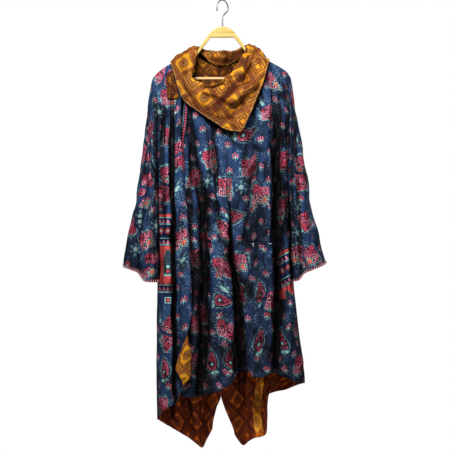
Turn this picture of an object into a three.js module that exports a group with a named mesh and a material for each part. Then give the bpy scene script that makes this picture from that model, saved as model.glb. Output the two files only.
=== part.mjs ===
// A long reversible wrap robe with a draped shawl collar, hung on a wooden hanger.
// Millimetres, +Z up, the front facing -Y. The origin is the inside top of the hanger's hook.
// Heights are written as drops: the distance down from the origin.
import * as THREE from 'three';
import { mergeVertices } from 'three/addons/utils/BufferGeometryUtils.js';

// ---- Driving dimensions ----
const WALL = 2; // two layers of printed cotton sewn back to back
const SEAM_GAP = 0.3; // left between pieces that are sewn together
const LIFT = 2.6; // how far a piece laid on a panel is moved out: its wall, the gap, a little for bends
const SHOULDER_ROLL = 10; // radius of the cloth where it turns over the hanger
const SETTLE = 45; // drop over which the cloth reaches its full depth below the shoulder
const LINES_BETWEEN = 2; // grid columns from one fold line to the next

// The shoulder seam, by distance out from the middle.
const SHOULDER = { out: [60, 82, 156, 184, 203, 212, 222], drop: [143, 154, 195, 211, 226, 240, 265] };

// Armholes: upright ovals at the ends of the shoulder seams.
const ARMHOLE = { top: 240, bottom: 513, halfDepth: 42 };

// The side edges of the robe, armhole planes above and side seams below.
const SIDES = {
  left: { drop: [240, 513, 573, 753, 953, 1153, 1297], x: [-214, -208, -204, -201, -202, -204, -202] },
  right: { drop: [240, 513, 573, 753, 866, 953, 1083, 1185], x: [211, 206, 208, 214, 219, 228, 243, 255] },
};

// Fold lines run down each panel. A row gives the line's start [x, drop] (null starts it on the
// shoulder seam or at the shoulder's own height), its x and its depth y at each level,
// and the point [x, drop] where it meets the hem.
const MAIN_LEVELS = [253, 403, 553, 753, 953, 1153];
const MAIN_FOLDS = [
  { line: 'free edge', top: [-119, 308], x: [-126, -126, -126, -126, -126, -126],
    y: [-42, -44, -44, -42, -42, -44], hem: [-126, 1225] },
  { line: 'ridge by the edge', top: [-110, 311], x: [-116, -113, -101, -82, -82, -85],
    y: [-46, -52, -57, -60, -50, -44], hem: [-101, 1227] },
  { line: 'wide shaded trough', top: [-101, 316], x: [-110, -101, -74, -60, -60, -73],
    y: [-45, -44, -38, -22, -14, -14], hem: [-76, 1226] },
  { line: 'lip of the trough', top: [-82, 320], x: [-85, -70, -51, -26, -29, -48],
    y: [-48, -55, -61, -60, -64, -70], hem: [-55, 1221] },
  { line: 'narrow crease', top: [-54, 325], x: [-54, -29, -23, -11, -11, -26],
    y: [-46, -49, -52, -62, -72, -80], hem: [-33, 1214] },
  { line: 'crown of the left fold', top: [-26, 327], x: [-26, -14, -5, 2, 11, 5],
    y: [-48, -56, -64, -68, -78, -86], hem: [-8, 1206] },
  { line: 'pleat, left lip', top: [-5, 325], x: [-8, 2, 8, 14, 28, 28],
    y: [-47, -57, -65, -66, -74, -80], hem: [28, 1182] },
  { line: 'pleat, bottom', top: [14, 319], x: [8, 14, 17, 24, 47, 54],
    y: [-46, -56, -60, -40, -16, -10], hem: [51, 1151] },
  { line: 'pleat, right lip', top: [29, 308], x: [23, 26, 26, 38, 68, 79],
    y: [-46, -56, -64, -62, -62, -68], hem: [78, 1144] },
  { line: 'crown of the right fold', top: [48, 286], x: [48, 54, 54, 60, 88, 101],
    y: [-46, -57, -64, -64, -68, -76], hem: [95, 1164] },
  { line: 'neck side', top: [72, 228], x: [74, 82, 79, 84, 105, 112],
    y: [-44, -52, -50, -54, -64, -71], hem: [106, 1165] },
  { line: 'soft trough', top: [84, 164], x: [93, 94, 92, 100, 116, 122],
    y: [-44, -50, -46, -50, -61, -68], hem: [118, 1165] },
  { line: 'soft ridge', top: [86, null], x: [107, 107, 110, 122, 129, 132],
    y: [-44, -55, -54, -58, -68, -73], hem: [129, 1164] },
  { line: 'bright ridge', top: [128, null], x: [132, 141, 143, 147, 149, 147],
    y: [-42, -60, -64, -68, -74, -78], hem: [147, 1151] },
  { line: 'deep trough', top: [158, null], x: [158, 166, 161, 163, 163, 158],
    y: [-38, -24, -12, -10, -14, -34], hem: [158, 1151] },
  { line: 'side ridge', top: [178, null], x: [176, 181, 183, 197, 206, 209],
    y: [-38, -42, -38, -44, -54, -66], hem: [194, 1165] },
  { line: 'side hollow', top: [196, null], x: [195, 198, 200, 209, 222, 235],
    y: [-34, -38, -24, -22, -26, -34], hem: [232, 1184] },
];
const MAIN_ROWS = { upper: 3, from: 400, to: 1096, level: 17, lower: 2 };

const SIDE_LEVELS = [253, 403, 553, 753, 953, 1023, 1103, 1153];
const SIDE_FOLDS = [
  { line: 'side hollow', top: [-206, null], x: [-208, -208, -200, -194, -194, -194, -194, -194],
    y: [-34, -42, -24, -24, -32, -34, -36, -36], hem: [-192, 1281] },
  { line: 'outer ridge', top: [-196, null], x: [-199, -199, -191, -184, -184, -184, -184, -184],
    y: [-38, -48, -34, -42, -50, -52, -54, -56], hem: [-180, 1267] },
  { line: 'hollow under the gathers', top: [-184, null], x: [-184, -181, -180, -175, -174, -174, -172, -169],
    y: [-38, -34, -46, -56, -60, -62, -64, -66], hem: [-167, 1257] },
  { line: 'ridge of the outer column', top: [-170, null], x: [-172, -168, -169, -164, -161, -160, -158, -157],
    y: [-40, -48, -56, -62, -68, -70, -72, -74], hem: [-157, 1252] },
  { line: 'deep trough', top: [-152, null], x: [-160, -158, -158, -152, -148, -148, -147, -147],
    y: [-40, -32, -28, -24, -30, -34, -38, -42], hem: [-147, 1248] },
  { line: 'ridge of the inner column', top: [-128, null], x: [-147, -144, -143, -138, -136, -138, -140, -140],
    y: [-42, -53, -58, -64, -66, -64, -62, -60], hem: [-135, 1226] },
  { line: 'inner column', top: [-100, null], x: [-138, -135, -130, -119, -113, -119, -119, -119],
    y: [-44, -53, -60, -70, -74, -74, -72, -70], hem: [-126, 1205] },
  { line: 'fold of the turned corner', top: [-86, null], x: [-132, -131, -122, -108, -101, -109, -97, -98],
    y: [-45, -52, -58, -70, -76, -76, -76, -74], hem: [-121, 1193] },
  { line: 'turned corner', top: [-91, 163], x: [-130, -129, -120, -105, -98, -108, -113, -117],
    y: [-45, -51, -57, -69, -75, -79, -88, -84], hem: [-129, 1168] },
  { line: 'free edge', top: [-93, 175], x: [-128, -128, -118, -102, -95, -107, -136, -144],
    y: [-45, -50, -56, -67, -73, -81, -86, -80], hem: [-144, 1142] },
];
const SIDE_ROWS = { upper: 2, from: 306, to: 1106, level: 21, lower: 3 };

const BACK_LEVELS = [253, 403, 653, 903, 1153, 1226, 1270, 1333];
const BACK_LEFT_FOLDS = [
  { line: 'side hollow', top: [-206, null], x: [-209, -209, -194, -191, -194, -193, -191, -188],
    y: [34, 43, 28, 34, 44, 44, 44, 44], hem: [-184, 1311] },
  { line: 'outer ridge', top: [-188, null], x: [-191, -188, -175, -169, -169, -166, -163, -160],
    y: [38, 50, 46, 54, 60, 60, 60, 58], hem: [-160, 1326] },
  { line: 'trough', top: [-164, null], x: [-166, -163, -150, -144, -141, -139, -138, -135],
    y: [38, 42, 34, 36, 40, 42, 44, 46], hem: [-135, 1340] },
  { line: 'shoulder blade ridge', top: [-136, null], x: [-138, -132, -119, -113, -110, -108, -107, -104],
    y: [40, 52, 54, 60, 66, 66, 66, 64], hem: [-104, 1360] },
  { line: 'soft trough', top: [-82, null], x: [-103, -101, -91, -88, -85, -83, -82, -79],
    y: [40, 46, 42, 46, 50, 52, 54, 56], hem: [-79, 1379] },
  { line: 'tail ridge', top: [-78, 172], x: [-72, -66, -57, -54, -54, -56, -58, -62],
    y: [40, 52, 56, 62, 68, 69, 70, 68], hem: [-64, 1390] },
  { line: 'tail trough', top: [-38, 194], x: [-36, -34, -29, -26, -29, -34, -39, -46],
    y: [40, 50, 50, 54, 56, 57, 58, 60], hem: [-50, 1366] },
  { line: 'centre seam and slit', top: [-5, 205], x: [-5, -5, -5, -5, -5, -5, -20, -31],
    y: [40, 50, 56, 60, 62, 62, 62, 62], hem: [-31, 1330] },
];
const BACK_RIGHT_FOLDS = [
  { line: 'centre seam and slit', top: [-4.7, 205], x: [-4.7, -4.7, -4.7, -4.7, -4.7, -4.7, 8, 31],
    y: [40, 50, 56, 60, 62, 62, 62, 62], hem: [37, 1347] },
  { line: 'tail trough', top: [30, 196], x: [24, 22, 23, 26, 29, 32, 38, 50],
    y: [40, 49, 50, 52, 54, 55, 56, 58], hem: [64, 1382] },
  { line: 'tail ridge', top: [77, 173], x: [58, 50, 51, 54, 57, 60, 66, 76],
    y: [40, 52, 58, 64, 70, 71, 72, 70], hem: [82, 1370] },
  { line: 'trough', top: [82, null], x: [84, 81, 79, 82, 82, 83, 86, 91],
    y: [40, 44, 42, 44, 48, 50, 52, 54], hem: [101, 1359] },
  { line: 'shoulder blade ridge', top: [106, null], x: [106, 104, 107, 110, 110, 110, 110, 113],
    y: [40, 52, 54, 60, 62, 61, 60, 58], hem: [122, 1355] },
  { line: 'turned edge of the tail', top: [128, null], x: [127, 126, 129, 132, 133, 133, 132, 133],
    y: [40, 46, 46, 48, 44, 42, 40, 38], hem: [137, 1340] },
  { line: 'back of the turned edge', top: [141, null], x: [141, 141, 141, 142, 141, 141, 141, 141],
    y: [40, 42, 44, 48, 54, 56, 56, 56], hem: [141, 1228] },
  { line: 'hip ridge', top: [160, null], x: [160, 160, 166, 169, 172, 172, 172, 172],
    y: [38, 50, 56, 60, 64, 64, 64, 64], hem: [166, 1215] },
  { line: 'hip trough', top: [178, null], x: [177, 177, 181, 191, 200, 200, 200, 200],
    y: [37, 46, 44, 46, 52, 52, 52, 52], hem: [194, 1209] },
  { line: 'side hollow', top: [200, null], x: [202, 200, 198, 212, 232, 236, 236, 236],
    y: [34, 42, 28, 32, 36, 36, 36, 36], hem: [232, 1193] },
];
const BACK_ROWS = { upper: 1, from: 330, to: 1150, level: 13, lower: 4 };

// Each panel's grid has rows that roll over the hanger, these far below its top edge, then some
// upper rows, level rows between two drops, and lower rows that fan out to the hem.
const ROLL_ROWS = [0, 1, 3, 10, 28];
const LEVELS_CLEAR = { below: 40, above: 30 }; // a line skips levels nearer than this to its start or hem

// Sleeve rings from the armhole to the cuff: outer and inner ends [x, drop], depth front to back,
// how much of the half depth the front fold and the back fold take away, and how far the ring's
// outer and inner halves hang as two lobes.
const SLEEVE_COLUMNS = 20;
const SLEEVES = {
  left: {
    fold: 0.54,
    rings: [
      { outer: [-228, 323], inner: [-211, 519], depth: 94, front: 0.05, back: 0.05, lobes: 0 },
      { outer: [-241, 415], inner: [-210, 530], depth: 100, front: 0.1, back: 0.1, lobes: 0.1 },
      { outer: [-250, 494], inner: [-208.5, 551], depth: 106, front: 0.2, back: 0.15, lobes: 0.3 },
      { outer: [-257, 561], inner: [-207, 585], depth: 108, front: 0.26, back: 0.2, lobes: 0.42 },
      { outer: [-266, 611], inner: [-206.4, 625], depth: 110, front: 0.28, back: 0.24, lobes: 0.46 },
      { outer: [-279, 659], inner: [-205.4, 677], depth: 112, front: 0.32, back: 0.26, lobes: 0.54 },
      { outer: [-290, 711], inner: [-204.5, 737], depth: 116, front: 0.38, back: 0.3, lobes: 0.66 },
      { outer: [-300, 765], inner: [-204.2, 799], depth: 122, front: 0.44, back: 0.34, lobes: 0.78 },
      { outer: [-308, 824], inner: [-204.6, 871], depth: 130, front: 0.5, back: 0.36, lobes: 0.9 },
    ],
  },
  right: {
    fold: 0.72,
    rings: [
      { outer: [225, 323], inner: [209.4, 519], depth: 94, front: 0.05, back: 0.05, lobes: 0 },
      { outer: [240, 415], inner: [209.8, 530], depth: 100, front: 0.1, back: 0.1, lobes: 0.1 },
      { outer: [251, 494], inner: [210.4, 551], depth: 106, front: 0.2, back: 0.15, lobes: 0.3 },
      { outer: [265, 559], inner: [211.6, 585], depth: 108, front: 0.26, back: 0.2, lobes: 0.42 },
      { outer: [271, 613], inner: [212.8, 625], depth: 110, front: 0.28, back: 0.24, lobes: 0.46 },
      { outer: [279, 661], inner: [214.6, 677], depth: 112, front: 0.32, back: 0.26, lobes: 0.54 },
      { outer: [291, 713], inner: [216.6, 737], depth: 116, front: 0.38, back: 0.3, lobes: 0.66 },
      { outer: [304, 765], inner: [219.1, 799], depth: 122, front: 0.42, back: 0.34, lobes: 0.74 },
      { outer: [318, 816], inner: [222.2, 869], depth: 130, front: 0.46, back: 0.36, lobes: 0.82 },
    ],
  },
};
const SLEEVE_OVAL = 0.8; // below 1, the rings are squarer than an ellipse
const SLEEVE_FOLD = 0.17; // half width of the long fold, as a share of the sleeve's width
const CUFF_STEP = 0.12; // how sharply the cuff drops from its outer lobe to its inner one

// Collar sections round the neck: neck seam, rolled fold, free edge, then how far the inner leg
// bulges into the neck, and where down the outer leg its tuck lies and how deep that is.
const COLLAR = [
  { at: 'back', seam: [-3, 26, 202], fold: [0, 42, 155], edge: [-5, 60, 288], lip: 24, tuck: 0.6, deep: 4 },
  { at: 'back right', seam: [36, 22, 190], fold: [38, 36, 151], edge: [66, 58, 272],
    lip: 20, tuck: 0.6, deep: 5 },
  { at: 'behind the right neck', seam: [68, 10, 160], fold: [66, 18, 142], edge: [134, 36, 214],
    lip: 2, tuck: 0.6, deep: 3 },
  { at: 'right shoulder', seam: [84, 0, 149], fold: [82, 0, 134], edge: [146, 0, 182],
    lip: 0, tuck: 0.5, deep: 0 },
  { at: 'before the right shoulder', seam: [80, -15, 176], fold: [74, -22, 150], edge: [140, -34, 205],
    lip: 2, tuck: 0.3, deep: 6 },
  { at: 'right front', seam: [68, -36, 220], fold: [60, -45, 185], edge: [126, -56, 252],
    lip: 4, tuck: 0.34, deep: 11 },
  { at: 'right lapel', seam: [50, -42, 270], fold: [34, -55, 221], edge: [106, -67, 304],
    lip: 5, tuck: 0.5, deep: 12 },
  { at: 'right of the point', seam: [30, -45, 296], fold: [8, -61, 244], edge: [82, -73, 360],
    lip: 5, tuck: 0.64, deep: 12 },
  { at: 'point', seam: [4, -47, 314], fold: [-18, -63, 257], edge: [54, -76, 408],
    lip: 6, tuck: 0.62, deep: 14 },
  { at: 'front', seam: [-26, -47, 318], fold: [-48, -63, 260], edge: [14, -76, 402],
    lip: 6, tuck: 0.58, deep: 14 },
  { at: 'left of the front', seam: [-58, -46, 316], fold: [-74, -61, 255], edge: [-22, -74, 381],
    lip: 6, tuck: 0.62, deep: 12 },
  { at: 'left lapel', seam: [-92, -45, 308], fold: [-92, -58, 243], edge: [-76, -70, 345],
    lip: 6, tuck: 0.72, deep: 8 },
  { at: 'left front', seam: [-106, -40, 273], fold: [-98, -50, 217], edge: [-122, -63, 307],
    lip: 4, tuck: 0.6, deep: 5 },
  { at: 'before the left shoulder', seam: [-84, -24, 190], fold: [-90, -27, 168], edge: [-150, -40, 228],
    lip: 2, tuck: 0.5, deep: 3 },
  { at: 'left shoulder', seam: [-84, 0, 150], fold: [-84, 0, 140], edge: [-161, 0, 189],
    lip: 0, tuck: 0.5, deep: 0 },
  { at: 'behind the left neck', seam: [-68, 10, 160], fold: [-66, 18, 145], edge: [-144, 36, 224],
    lip: 2, tuck: 0.6, deep: 3 },
  { at: 'back left', seam: [-38, 22, 190], fold: [-38, 36, 152], edge: [-72, 58, 276],
    lip: 20, tuck: 0.6, deep: 5 },
];
const COLLAR_ROLL = 6; // half the width of the rolled fold
const COLLAR_BULGE = 6; // how far the outer leg stands out between its fold and its edge
// Points up the inner leg: how far up, and how much of the lip and the roll they lean in.
const INNER_LEG = [{ up: 0.28, lip: 0.6, roll: 0 }, { up: 0.62, lip: 1, roll: 1 }];
// Points down the outer leg, as shares of the way to the tuck and from there to the edge,
// and how much of the bulge and of the tuck's depth they stand out.
const OUTER_LEG = [
  { toTuck: 0.5, toEdge: 0, bulge: 1, deep: 0.25 },
  { toTuck: 0.87, toEdge: 0, bulge: 1, deep: 0 },
  { toTuck: 1, toEdge: 0.1, bulge: 0.5, deep: -0.5 },
  { toTuck: 1, toEdge: 0.5, bulge: 0.6, deep: 0 },
];
const ROLL_END = 0.12; // share of the outer leg that the rolled fold reaches

// Parts of a panel's grid that carry a second piece: first and last column and row.
const STAND_PATCH = { columns: [8, 15], rows: [4, 7] };
const POCKET_PATCH = { columns: [19, 27], rows: [16, 20] };

// The hanger: a flat board with an arch in the middle, a round bar and a steel hook.
const BOARD = { thick: 11, bevel: 3, under: 2 };
const CROWN = {
  drop: 79.5, half: [[18, 83], [30, 91], [40, 101], [57, 124], [70, 143], [84, 165], [100, 173]],
};
const WEB = { halfWidth: 37, drop: 115 };
const ARM_UNDER = [[54, 138], [80, 172], [100, 184], [150, 216], [178, 233]];
const ARM_END = { out: 200, inner: 184, top: 224, step: 235, bottom: 254, corner: 5 };
const BAR = { radius: 4.75, drop: 241.5, sides: 16 };
const HOOK = { wire: 2, bend: 26, turn: 200, straight: 54, swivel: 48, rising: 0.42, steps: 44, sides: 5 };

// ---- Finishes ----
const finish = (color, roughness, metalness = 0) => (
  new THREE.MeshStandardMaterial({ color, roughness, metalness }));
const CLOTH = { outside: finish(0x1e2b4a, 0.85), inside: finish(0x9a6f26, 0.8) };
const WOOD = finish(0xe3c27c, 0.45);
const STEEL = finish(0xb9bcc0, 0.3, 1);

// ---- Curves ----
// Smooth curve through (knots, values) that never overshoots them; knots rise, ends are held.
const through = (knots, values, at) => {
  const last = knots.length - 1;
  if (at <= knots[0]) return values[0];
  if (at >= knots[last]) return values[last];
  const rise = (k) => (values[k + 1] - values[k]) / (knots[k + 1] - knots[k]);
  const slope = (k) => {
    if (k === 0 || k === last) return 0;
    const [before, after] = [rise(k - 1), rise(k)];
    if (before * after <= 0) return 0;
    return (2 * before * after) / (before + after);
  };
  const i = knots.findIndex((knot) => knot > at) - 1;
  const span = knots[i + 1] - knots[i];
  const t = (at - knots[i]) / span;
  const [t2, t3] = [t * t, t * t * t];
  return (2 * t3 - 3 * t2 + 1) * values[i] + (t3 - 2 * t2 + t) * span * slope(i)
    + (3 * t2 - 2 * t3) * values[i + 1] + (t3 - t2) * span * slope(i + 1);
};

const mix = (a, b, t) => a + (b - a) * t;
const point = (x, y, drop) => new THREE.Vector3(x, y, -drop);
const shoulderDrop = (x) => through(SHOULDER.out, SHOULDER.drop, Math.abs(x));
const sideX = (side, drop) => through(side.drop, side.x, drop);

// Half depth of the armhole at a drop, nothing below the underarm.
const armholeDepth = (drop) => {
  const middle = (ARMHOLE.top + ARMHOLE.bottom) / 2;
  const reach = (drop - middle) / ((ARMHOLE.bottom - ARMHOLE.top) / 2);
  return ARMHOLE.halfDepth * Math.sqrt(Math.max(1 - reach * reach, 0));
};

// Depth of the cloth: a round turn over the hanger, then out to the fold's own depth.
const hungDepth = (x, drop, full) => {
  const below = Math.max(drop - shoulderDrop(x), 0);
  const turned = Math.min(below, SHOULDER_ROLL);
  const roll = Math.sqrt(turned * (2 * SHOULDER_ROLL - turned));
  const settled = 1 - Math.exp(-(below - turned) / SETTLE);
  return Math.sign(full) * (roll + (Math.abs(full) - SHOULDER_ROLL) * settled);
};

// ---- Walls ----
// Normals of a grid of points whose columns run across and rows run down: outward on the front.
const gridNormals = (grid, closed) => {
  const rows = grid.length;
  const columns = grid[0].length;
  const neighbour = (c, step) => (closed ? (c + step + columns) % columns
    : Math.min(Math.max(c + step, 0), columns - 1));
  return grid.map((row, r) => row.map((_, c) => {
    const across = row[neighbour(c, 1)].clone().sub(row[neighbour(c, -1)]);
    const down = grid[Math.min(r + 1, rows - 1)][c].clone().sub(grid[Math.max(r - 1, 0)][c]);
    return down.cross(across).normalize();
  }));
};

// A closed wall of cloth about a grid of points in its middle surface.
const clothWall = (grid, normals, closed = false) => {
  const rows = grid.length;
  const columns = grid[0].length;
  const layer = rows * columns;
  const positions = [WALL / 2, -WALL / 2].flatMap((offset) => grid.flatMap((row, r) => row.flatMap((p, c) => (
    p.clone().addScaledVector(normals[r][c], offset).toArray()))));
  const outer = (r, c) => r * columns + (c % columns);
  const inner = (r, c) => layer + outer(r, c);
  const faces = [];
  const quad = (a, b, c, d) => faces.push(a, b, c, a, c, d);
  const spans = closed ? columns : columns - 1;
  for (let r = 0; r < rows - 1; r += 1) {
    for (let c = 0; c < spans; c += 1) {
      quad(outer(r, c), outer(r + 1, c), outer(r + 1, c + 1), outer(r, c + 1));
      quad(inner(r, c), inner(r, c + 1), inner(r + 1, c + 1), inner(r + 1, c));
    }
  }
  for (let c = 0; c < spans; c += 1) {
    quad(outer(0, c), outer(0, c + 1), inner(0, c + 1), inner(0, c));
    quad(outer(rows - 1, c), inner(rows - 1, c), inner(rows - 1, c + 1), outer(rows - 1, c + 1));
  }
  for (let r = 0; r < rows - 1 && !closed; r += 1) {
    quad(outer(r, 0), inner(r, 0), inner(r + 1, 0), outer(r + 1, 0));
    quad(outer(r, columns - 1), outer(r + 1, columns - 1), inner(r + 1, columns - 1), inner(r, columns - 1));
  }
  const geometry = new THREE.BufferGeometry();
  geometry.setAttribute('position', new THREE.Float32BufferAttribute(positions, 3));
  geometry.setIndex(faces);
  return geometry;
};

// ---- Panels hung from their fold lines ----
// One fold line as a function of drop, from its start to its hem.
const foldLine = (fold, levels, facing) => {
  const start = fold.top[1] ?? shoulderDrop(fold.top[0]);
  const [hemX, hem] = fold.hem;
  const between = levels.map((drop, i) => ({ drop, x: fold.x[i] }))
    .filter(({ drop }) => drop > start + LEVELS_CLEAR.below && drop < hem - LEVELS_CLEAR.above);
  const knots = [start, ...between.map(({ drop }) => drop), hem];
  const xs = [fold.top[0], ...between.map(({ x }) => x), hemX];
  const at = (drop) => {
    const x = through(knots, xs, drop);
    const y = hungDepth(x, drop, through(levels, fold.y, drop)) + facing * SEAM_GAP / 2;
    return point(x, y, drop);
  };
  return { start, hem, at };
};

// The side edge of a panel: the armhole's rim, then the side seam. Half a wall of depth at the
// underarm corner lets the wall turn from one seam to the other.
const sideLine = (side, facing) => {
  const hem = side.drop.at(-1);
  const depth = (drop) => (drop === ARMHOLE.bottom ? WALL / 2 : armholeDepth(drop));
  const at = (drop) => point(sideX(side, drop), facing * (depth(drop) + SEAM_GAP / 2), drop);
  return { start: ARMHOLE.top, hem, at, corner: ARMHOLE.bottom };
};

// Drops of a line's rows, from its start to its hem; the row nearest to its corner is moved there.
const rowDrops = (line, { upper, from, to, level, lower }) => {
  const rolled = ROLL_ROWS.map((step) => line.start + step);
  const upperRows = Array.from({ length: upper }, (_, i) => mix(rolled.at(-1), from, (i + 1) / (upper + 1)));
  const levelRows = Array.from({ length: level }, (_, i) => mix(from, to, i / (level - 1)));
  const lowerRows = Array.from({ length: lower }, (_, i) => mix(to, line.hem, (i + 1) / lower));
  const drops = [...rolled, ...upperRows, ...levelRows, ...lowerRows];
  if (!line.corner) return drops;
  const away = drops.map((drop) => Math.abs(drop - line.corner));
  return drops.with(away.indexOf(Math.min(...away)), line.corner);
};

// Grid of a panel: fold lines joined across by a smooth curve.
const panelGrid = (lines, rows, facing) => {
  const drawn = lines.map((line) => rowDrops(line, rows).map(line.at));
  const order = drawn.map((_, i) => i);
  const columns = (lines.length - 1) * LINES_BETWEEN + 1;
  return drawn[0].map((_, r) => Array.from({ length: columns }, (__, c) => {
    const along = (axis) => through(order, drawn.map((line) => line[r][axis]), c / LINES_BETWEEN);
    const depth = Math.max(facing * along('y'), SEAM_GAP / 2);
    return new THREE.Vector3(along('x'), facing * depth, along('z'));
  }));
};

// Normals of a panel, turned into the plane of each seam so that neighbours meet square.
const panelNormals = (grid, seams) => {
  const normals = gridNormals(grid, false);
  const last = grid[0].length - 1;
  const square = (r, c, axis) => {
    normals[r][c][axis] = 0;
    normals[r][c].normalize();
  };
  grid.forEach((row, r) => {
    if (seams.left) square(r, 0, seams.left(-row[0].z));
    if (seams.right) square(r, last, seams.right(-row[last].z));
  });
  grid[0].forEach((p, c) => {
    if (Math.abs(p.y) < SEAM_GAP) square(0, c, 'y');
  });
  return normals;
};

const sideSeam = (drop) => (drop <= ARMHOLE.bottom ? 'x' : 'y');
const centreSeam = () => 'x';

const frontMain = () => {
  const lines = [...MAIN_FOLDS.map((fold) => foldLine(fold, MAIN_LEVELS, -1)), sideLine(SIDES.right, -1)];
  const grid = panelGrid(lines, MAIN_ROWS, -1);
  return { grid, normals: panelNormals(grid, { right: sideSeam }) };
};

const frontSide = () => {
  const lines = [sideLine(SIDES.left, -1), ...SIDE_FOLDS.map((fold) => foldLine(fold, SIDE_LEVELS, -1))];
  const grid = panelGrid(lines, SIDE_ROWS, -1);
  return { grid, normals: panelNormals(grid, { left: sideSeam }) };
};

const backLeft = () => {
  const lines = [sideLine(SIDES.left, 1), ...BACK_LEFT_FOLDS.map((fold) => foldLine(fold, BACK_LEVELS, 1))];
  const grid = panelGrid(lines, BACK_ROWS, 1);
  return { grid, normals: panelNormals(grid, { left: sideSeam, right: centreSeam }) };
};

const backRight = () => {
  const lines = [...BACK_RIGHT_FOLDS.map((fold) => foldLine(fold, BACK_LEVELS, 1)), sideLine(SIDES.right, 1)];
  const grid = panelGrid(lines, BACK_ROWS, 1);
  return { grid, normals: panelNormals(grid, { left: centreSeam, right: sideSeam }) };
};

// A piece that lies on a panel: part of its grid, moved out.
const laidOn = (panel, patch) => {
  const cut = (field) => field.slice(patch.rows[0], patch.rows[1] + 1)
    .map((row) => row.slice(patch.columns[0], patch.columns[1] + 1));
  const normals = cut(panel.normals);
  const lifted = (p, r, c) => p.clone().addScaledVector(normals[r][c], LIFT);
  const grid = cut(panel.grid).map((row, r) => row.map((p, c) => lifted(p, r, c)));
  return { grid, normals };
};

// ---- Sleeves ----
// The armhole rim, a seam's gap outside the body's edge.
const armholeRing = (side) => {
  const outward = Math.sign(side.x[0]) * SEAM_GAP;
  const middle = (ARMHOLE.top + ARMHOLE.bottom) / 2;
  const half = (ARMHOLE.bottom - ARMHOLE.top) / 2;
  return Array.from({ length: SLEEVE_COLUMNS }, (_, c) => {
    const turn = (c / SLEEVE_COLUMNS) * 2 * Math.PI;
    const drop = middle - half * Math.cos(turn);
    return point(sideX(side, drop) + outward, -ARMHOLE.halfDepth * Math.sin(turn), drop);
  });
};

// One ring: an oval from the outer to the inner line, dented front and back by the long fold.
const sleeveRing = (ring, fold) => Array.from({ length: SLEEVE_COLUMNS }, (_, c) => {
  const turn = (c / SLEEVE_COLUMNS) * 2 * Math.PI;
  const inward = (1 - Math.cos(turn)) / 2;
  const dent = Math.exp(-(((inward - fold) / SLEEVE_FOLD) ** 2));
  const front = Math.sin(turn) > 0;
  const half = (ring.depth / 2) * (1 - (front ? ring.front : ring.back) * dent);
  const round = Math.sign(Math.sin(turn)) * Math.abs(Math.sin(turn)) ** SLEEVE_OVAL;
  const step = 1 / (1 + Math.exp(-(inward - fold) / CUFF_STEP));
  const falls = mix(inward, step, ring.lobes);
  return point(mix(ring.outer[0], ring.inner[0], inward), -half * round,
    mix(ring.outer[1], ring.inner[1], falls));
});

const sleeve = (side, { rings, fold }) => {
  const grid = [armholeRing(side), ...rings.map((ring) => sleeveRing(ring, fold))];
  const normals = gridNormals(grid, true);
  normals[0].forEach((n) => {
    n.x = 0;
    n.normalize();
  });
  return { grid, normals };
};

// ---- Collar ----
// A section from the neck seam up the inner leg, over the rolled fold and down to the free edge.
const collarSection = ({ seam, fold, edge, lip, tuck, deep }) => {
  const [from, top, to] = [point(...seam), point(...fold), point(...edge)];
  const out = to.clone().sub(top).setZ(0).normalize();
  const leg = to.clone().sub(top);
  const face = new THREE.Vector3().crossVectors(leg, new THREE.Vector3(-out.y, out.x, 0)).normalize();
  if (face.dot(out) < 0) face.negate();
  const outer = (t, raised) => top.clone().addScaledVector(leg, t).addScaledVector(face, raised);
  const inner = (up, lean) => from.clone().lerp(top, up).addScaledVector(out, -lean);
  const roll = (side) => top.clone().addScaledVector(out, side * COLLAR_ROLL).setZ(top.z - COLLAR_ROLL);
  return [
    from,
    ...INNER_LEG.map((p) => inner(p.up, lip * p.lip + COLLAR_ROLL * p.roll)),
    roll(-1),
    top,
    roll(1).lerp(outer(ROLL_END, COLLAR_BULGE), 0.5),
    ...OUTER_LEG.map((p) => (
      outer(mix(tuck * p.toTuck, 1, p.toEdge), COLLAR_BULGE * p.bulge + deep * p.deep))),
    to,
  ];
};

const collar = () => {
  const sections = COLLAR.map(collarSection);
  const count = sections.length;
  const around = [...sections, ...sections, ...sections];
  const order = around.map((_, i) => i - count);
  const grid = sections[0].map((_, r) => Array.from({ length: count * LINES_BETWEEN }, (__, c) => {
    const along = (axis) => through(order, around.map((section) => section[r][axis]), c / LINES_BETWEEN);
    return new THREE.Vector3(along('x'), along('y'), along('z'));
  }));
  return { grid, normals: gridNormals(grid, true) };
};

// ---- Hanger ----
const hangerBoard = () => {
  const topEdge = SHOULDER.out.map((out, i) => [out, SHOULDER.drop[i] + BOARD.under])
    .filter(([out]) => out > CROWN.half.at(-1)[0] && out < ARM_END.out);
  const { out: end, inner, top, step, bottom, corner } = ARM_END;
  const armEnd = [[end - corner, top], [end, top + corner], [end, bottom - corner], [end - corner, bottom],
    [inner, bottom], [inner, step]];
  const half = [...CROWN.half, ...topEdge, ...armEnd, ...ARM_UNDER.toReversed(), [WEB.halfWidth, WEB.drop]];
  const rightHalf = half.map(([x, drop]) => new THREE.Vector2(x, -drop));
  const leftHalf = half.map(([x, drop]) => new THREE.Vector2(-x, -drop)).reverse();
  const outline = new THREE.Shape([new THREE.Vector2(0, -CROWN.drop), ...rightHalf, ...leftHalf]);
  const core = BOARD.thick - 2 * BOARD.bevel;
  const board = new THREE.ExtrudeGeometry(outline, {
    depth: core,
    bevelThickness: BOARD.bevel,
    bevelSize: BOARD.bevel,
    bevelOffset: -BOARD.bevel,
    bevelSegments: 2,
  });
  return board.translate(0, 0, -core / 2).rotateX(Math.PI / 2);
};

const hangerBar = () => {
  const length = 2 * (ARM_END.inner - SEAM_GAP);
  const bar = new THREE.CylinderGeometry(BAR.radius, BAR.radius, length, BAR.sides);
  return bar.rotateZ(Math.PI / 2).translate(0, 0, -BAR.drop);
};

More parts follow.
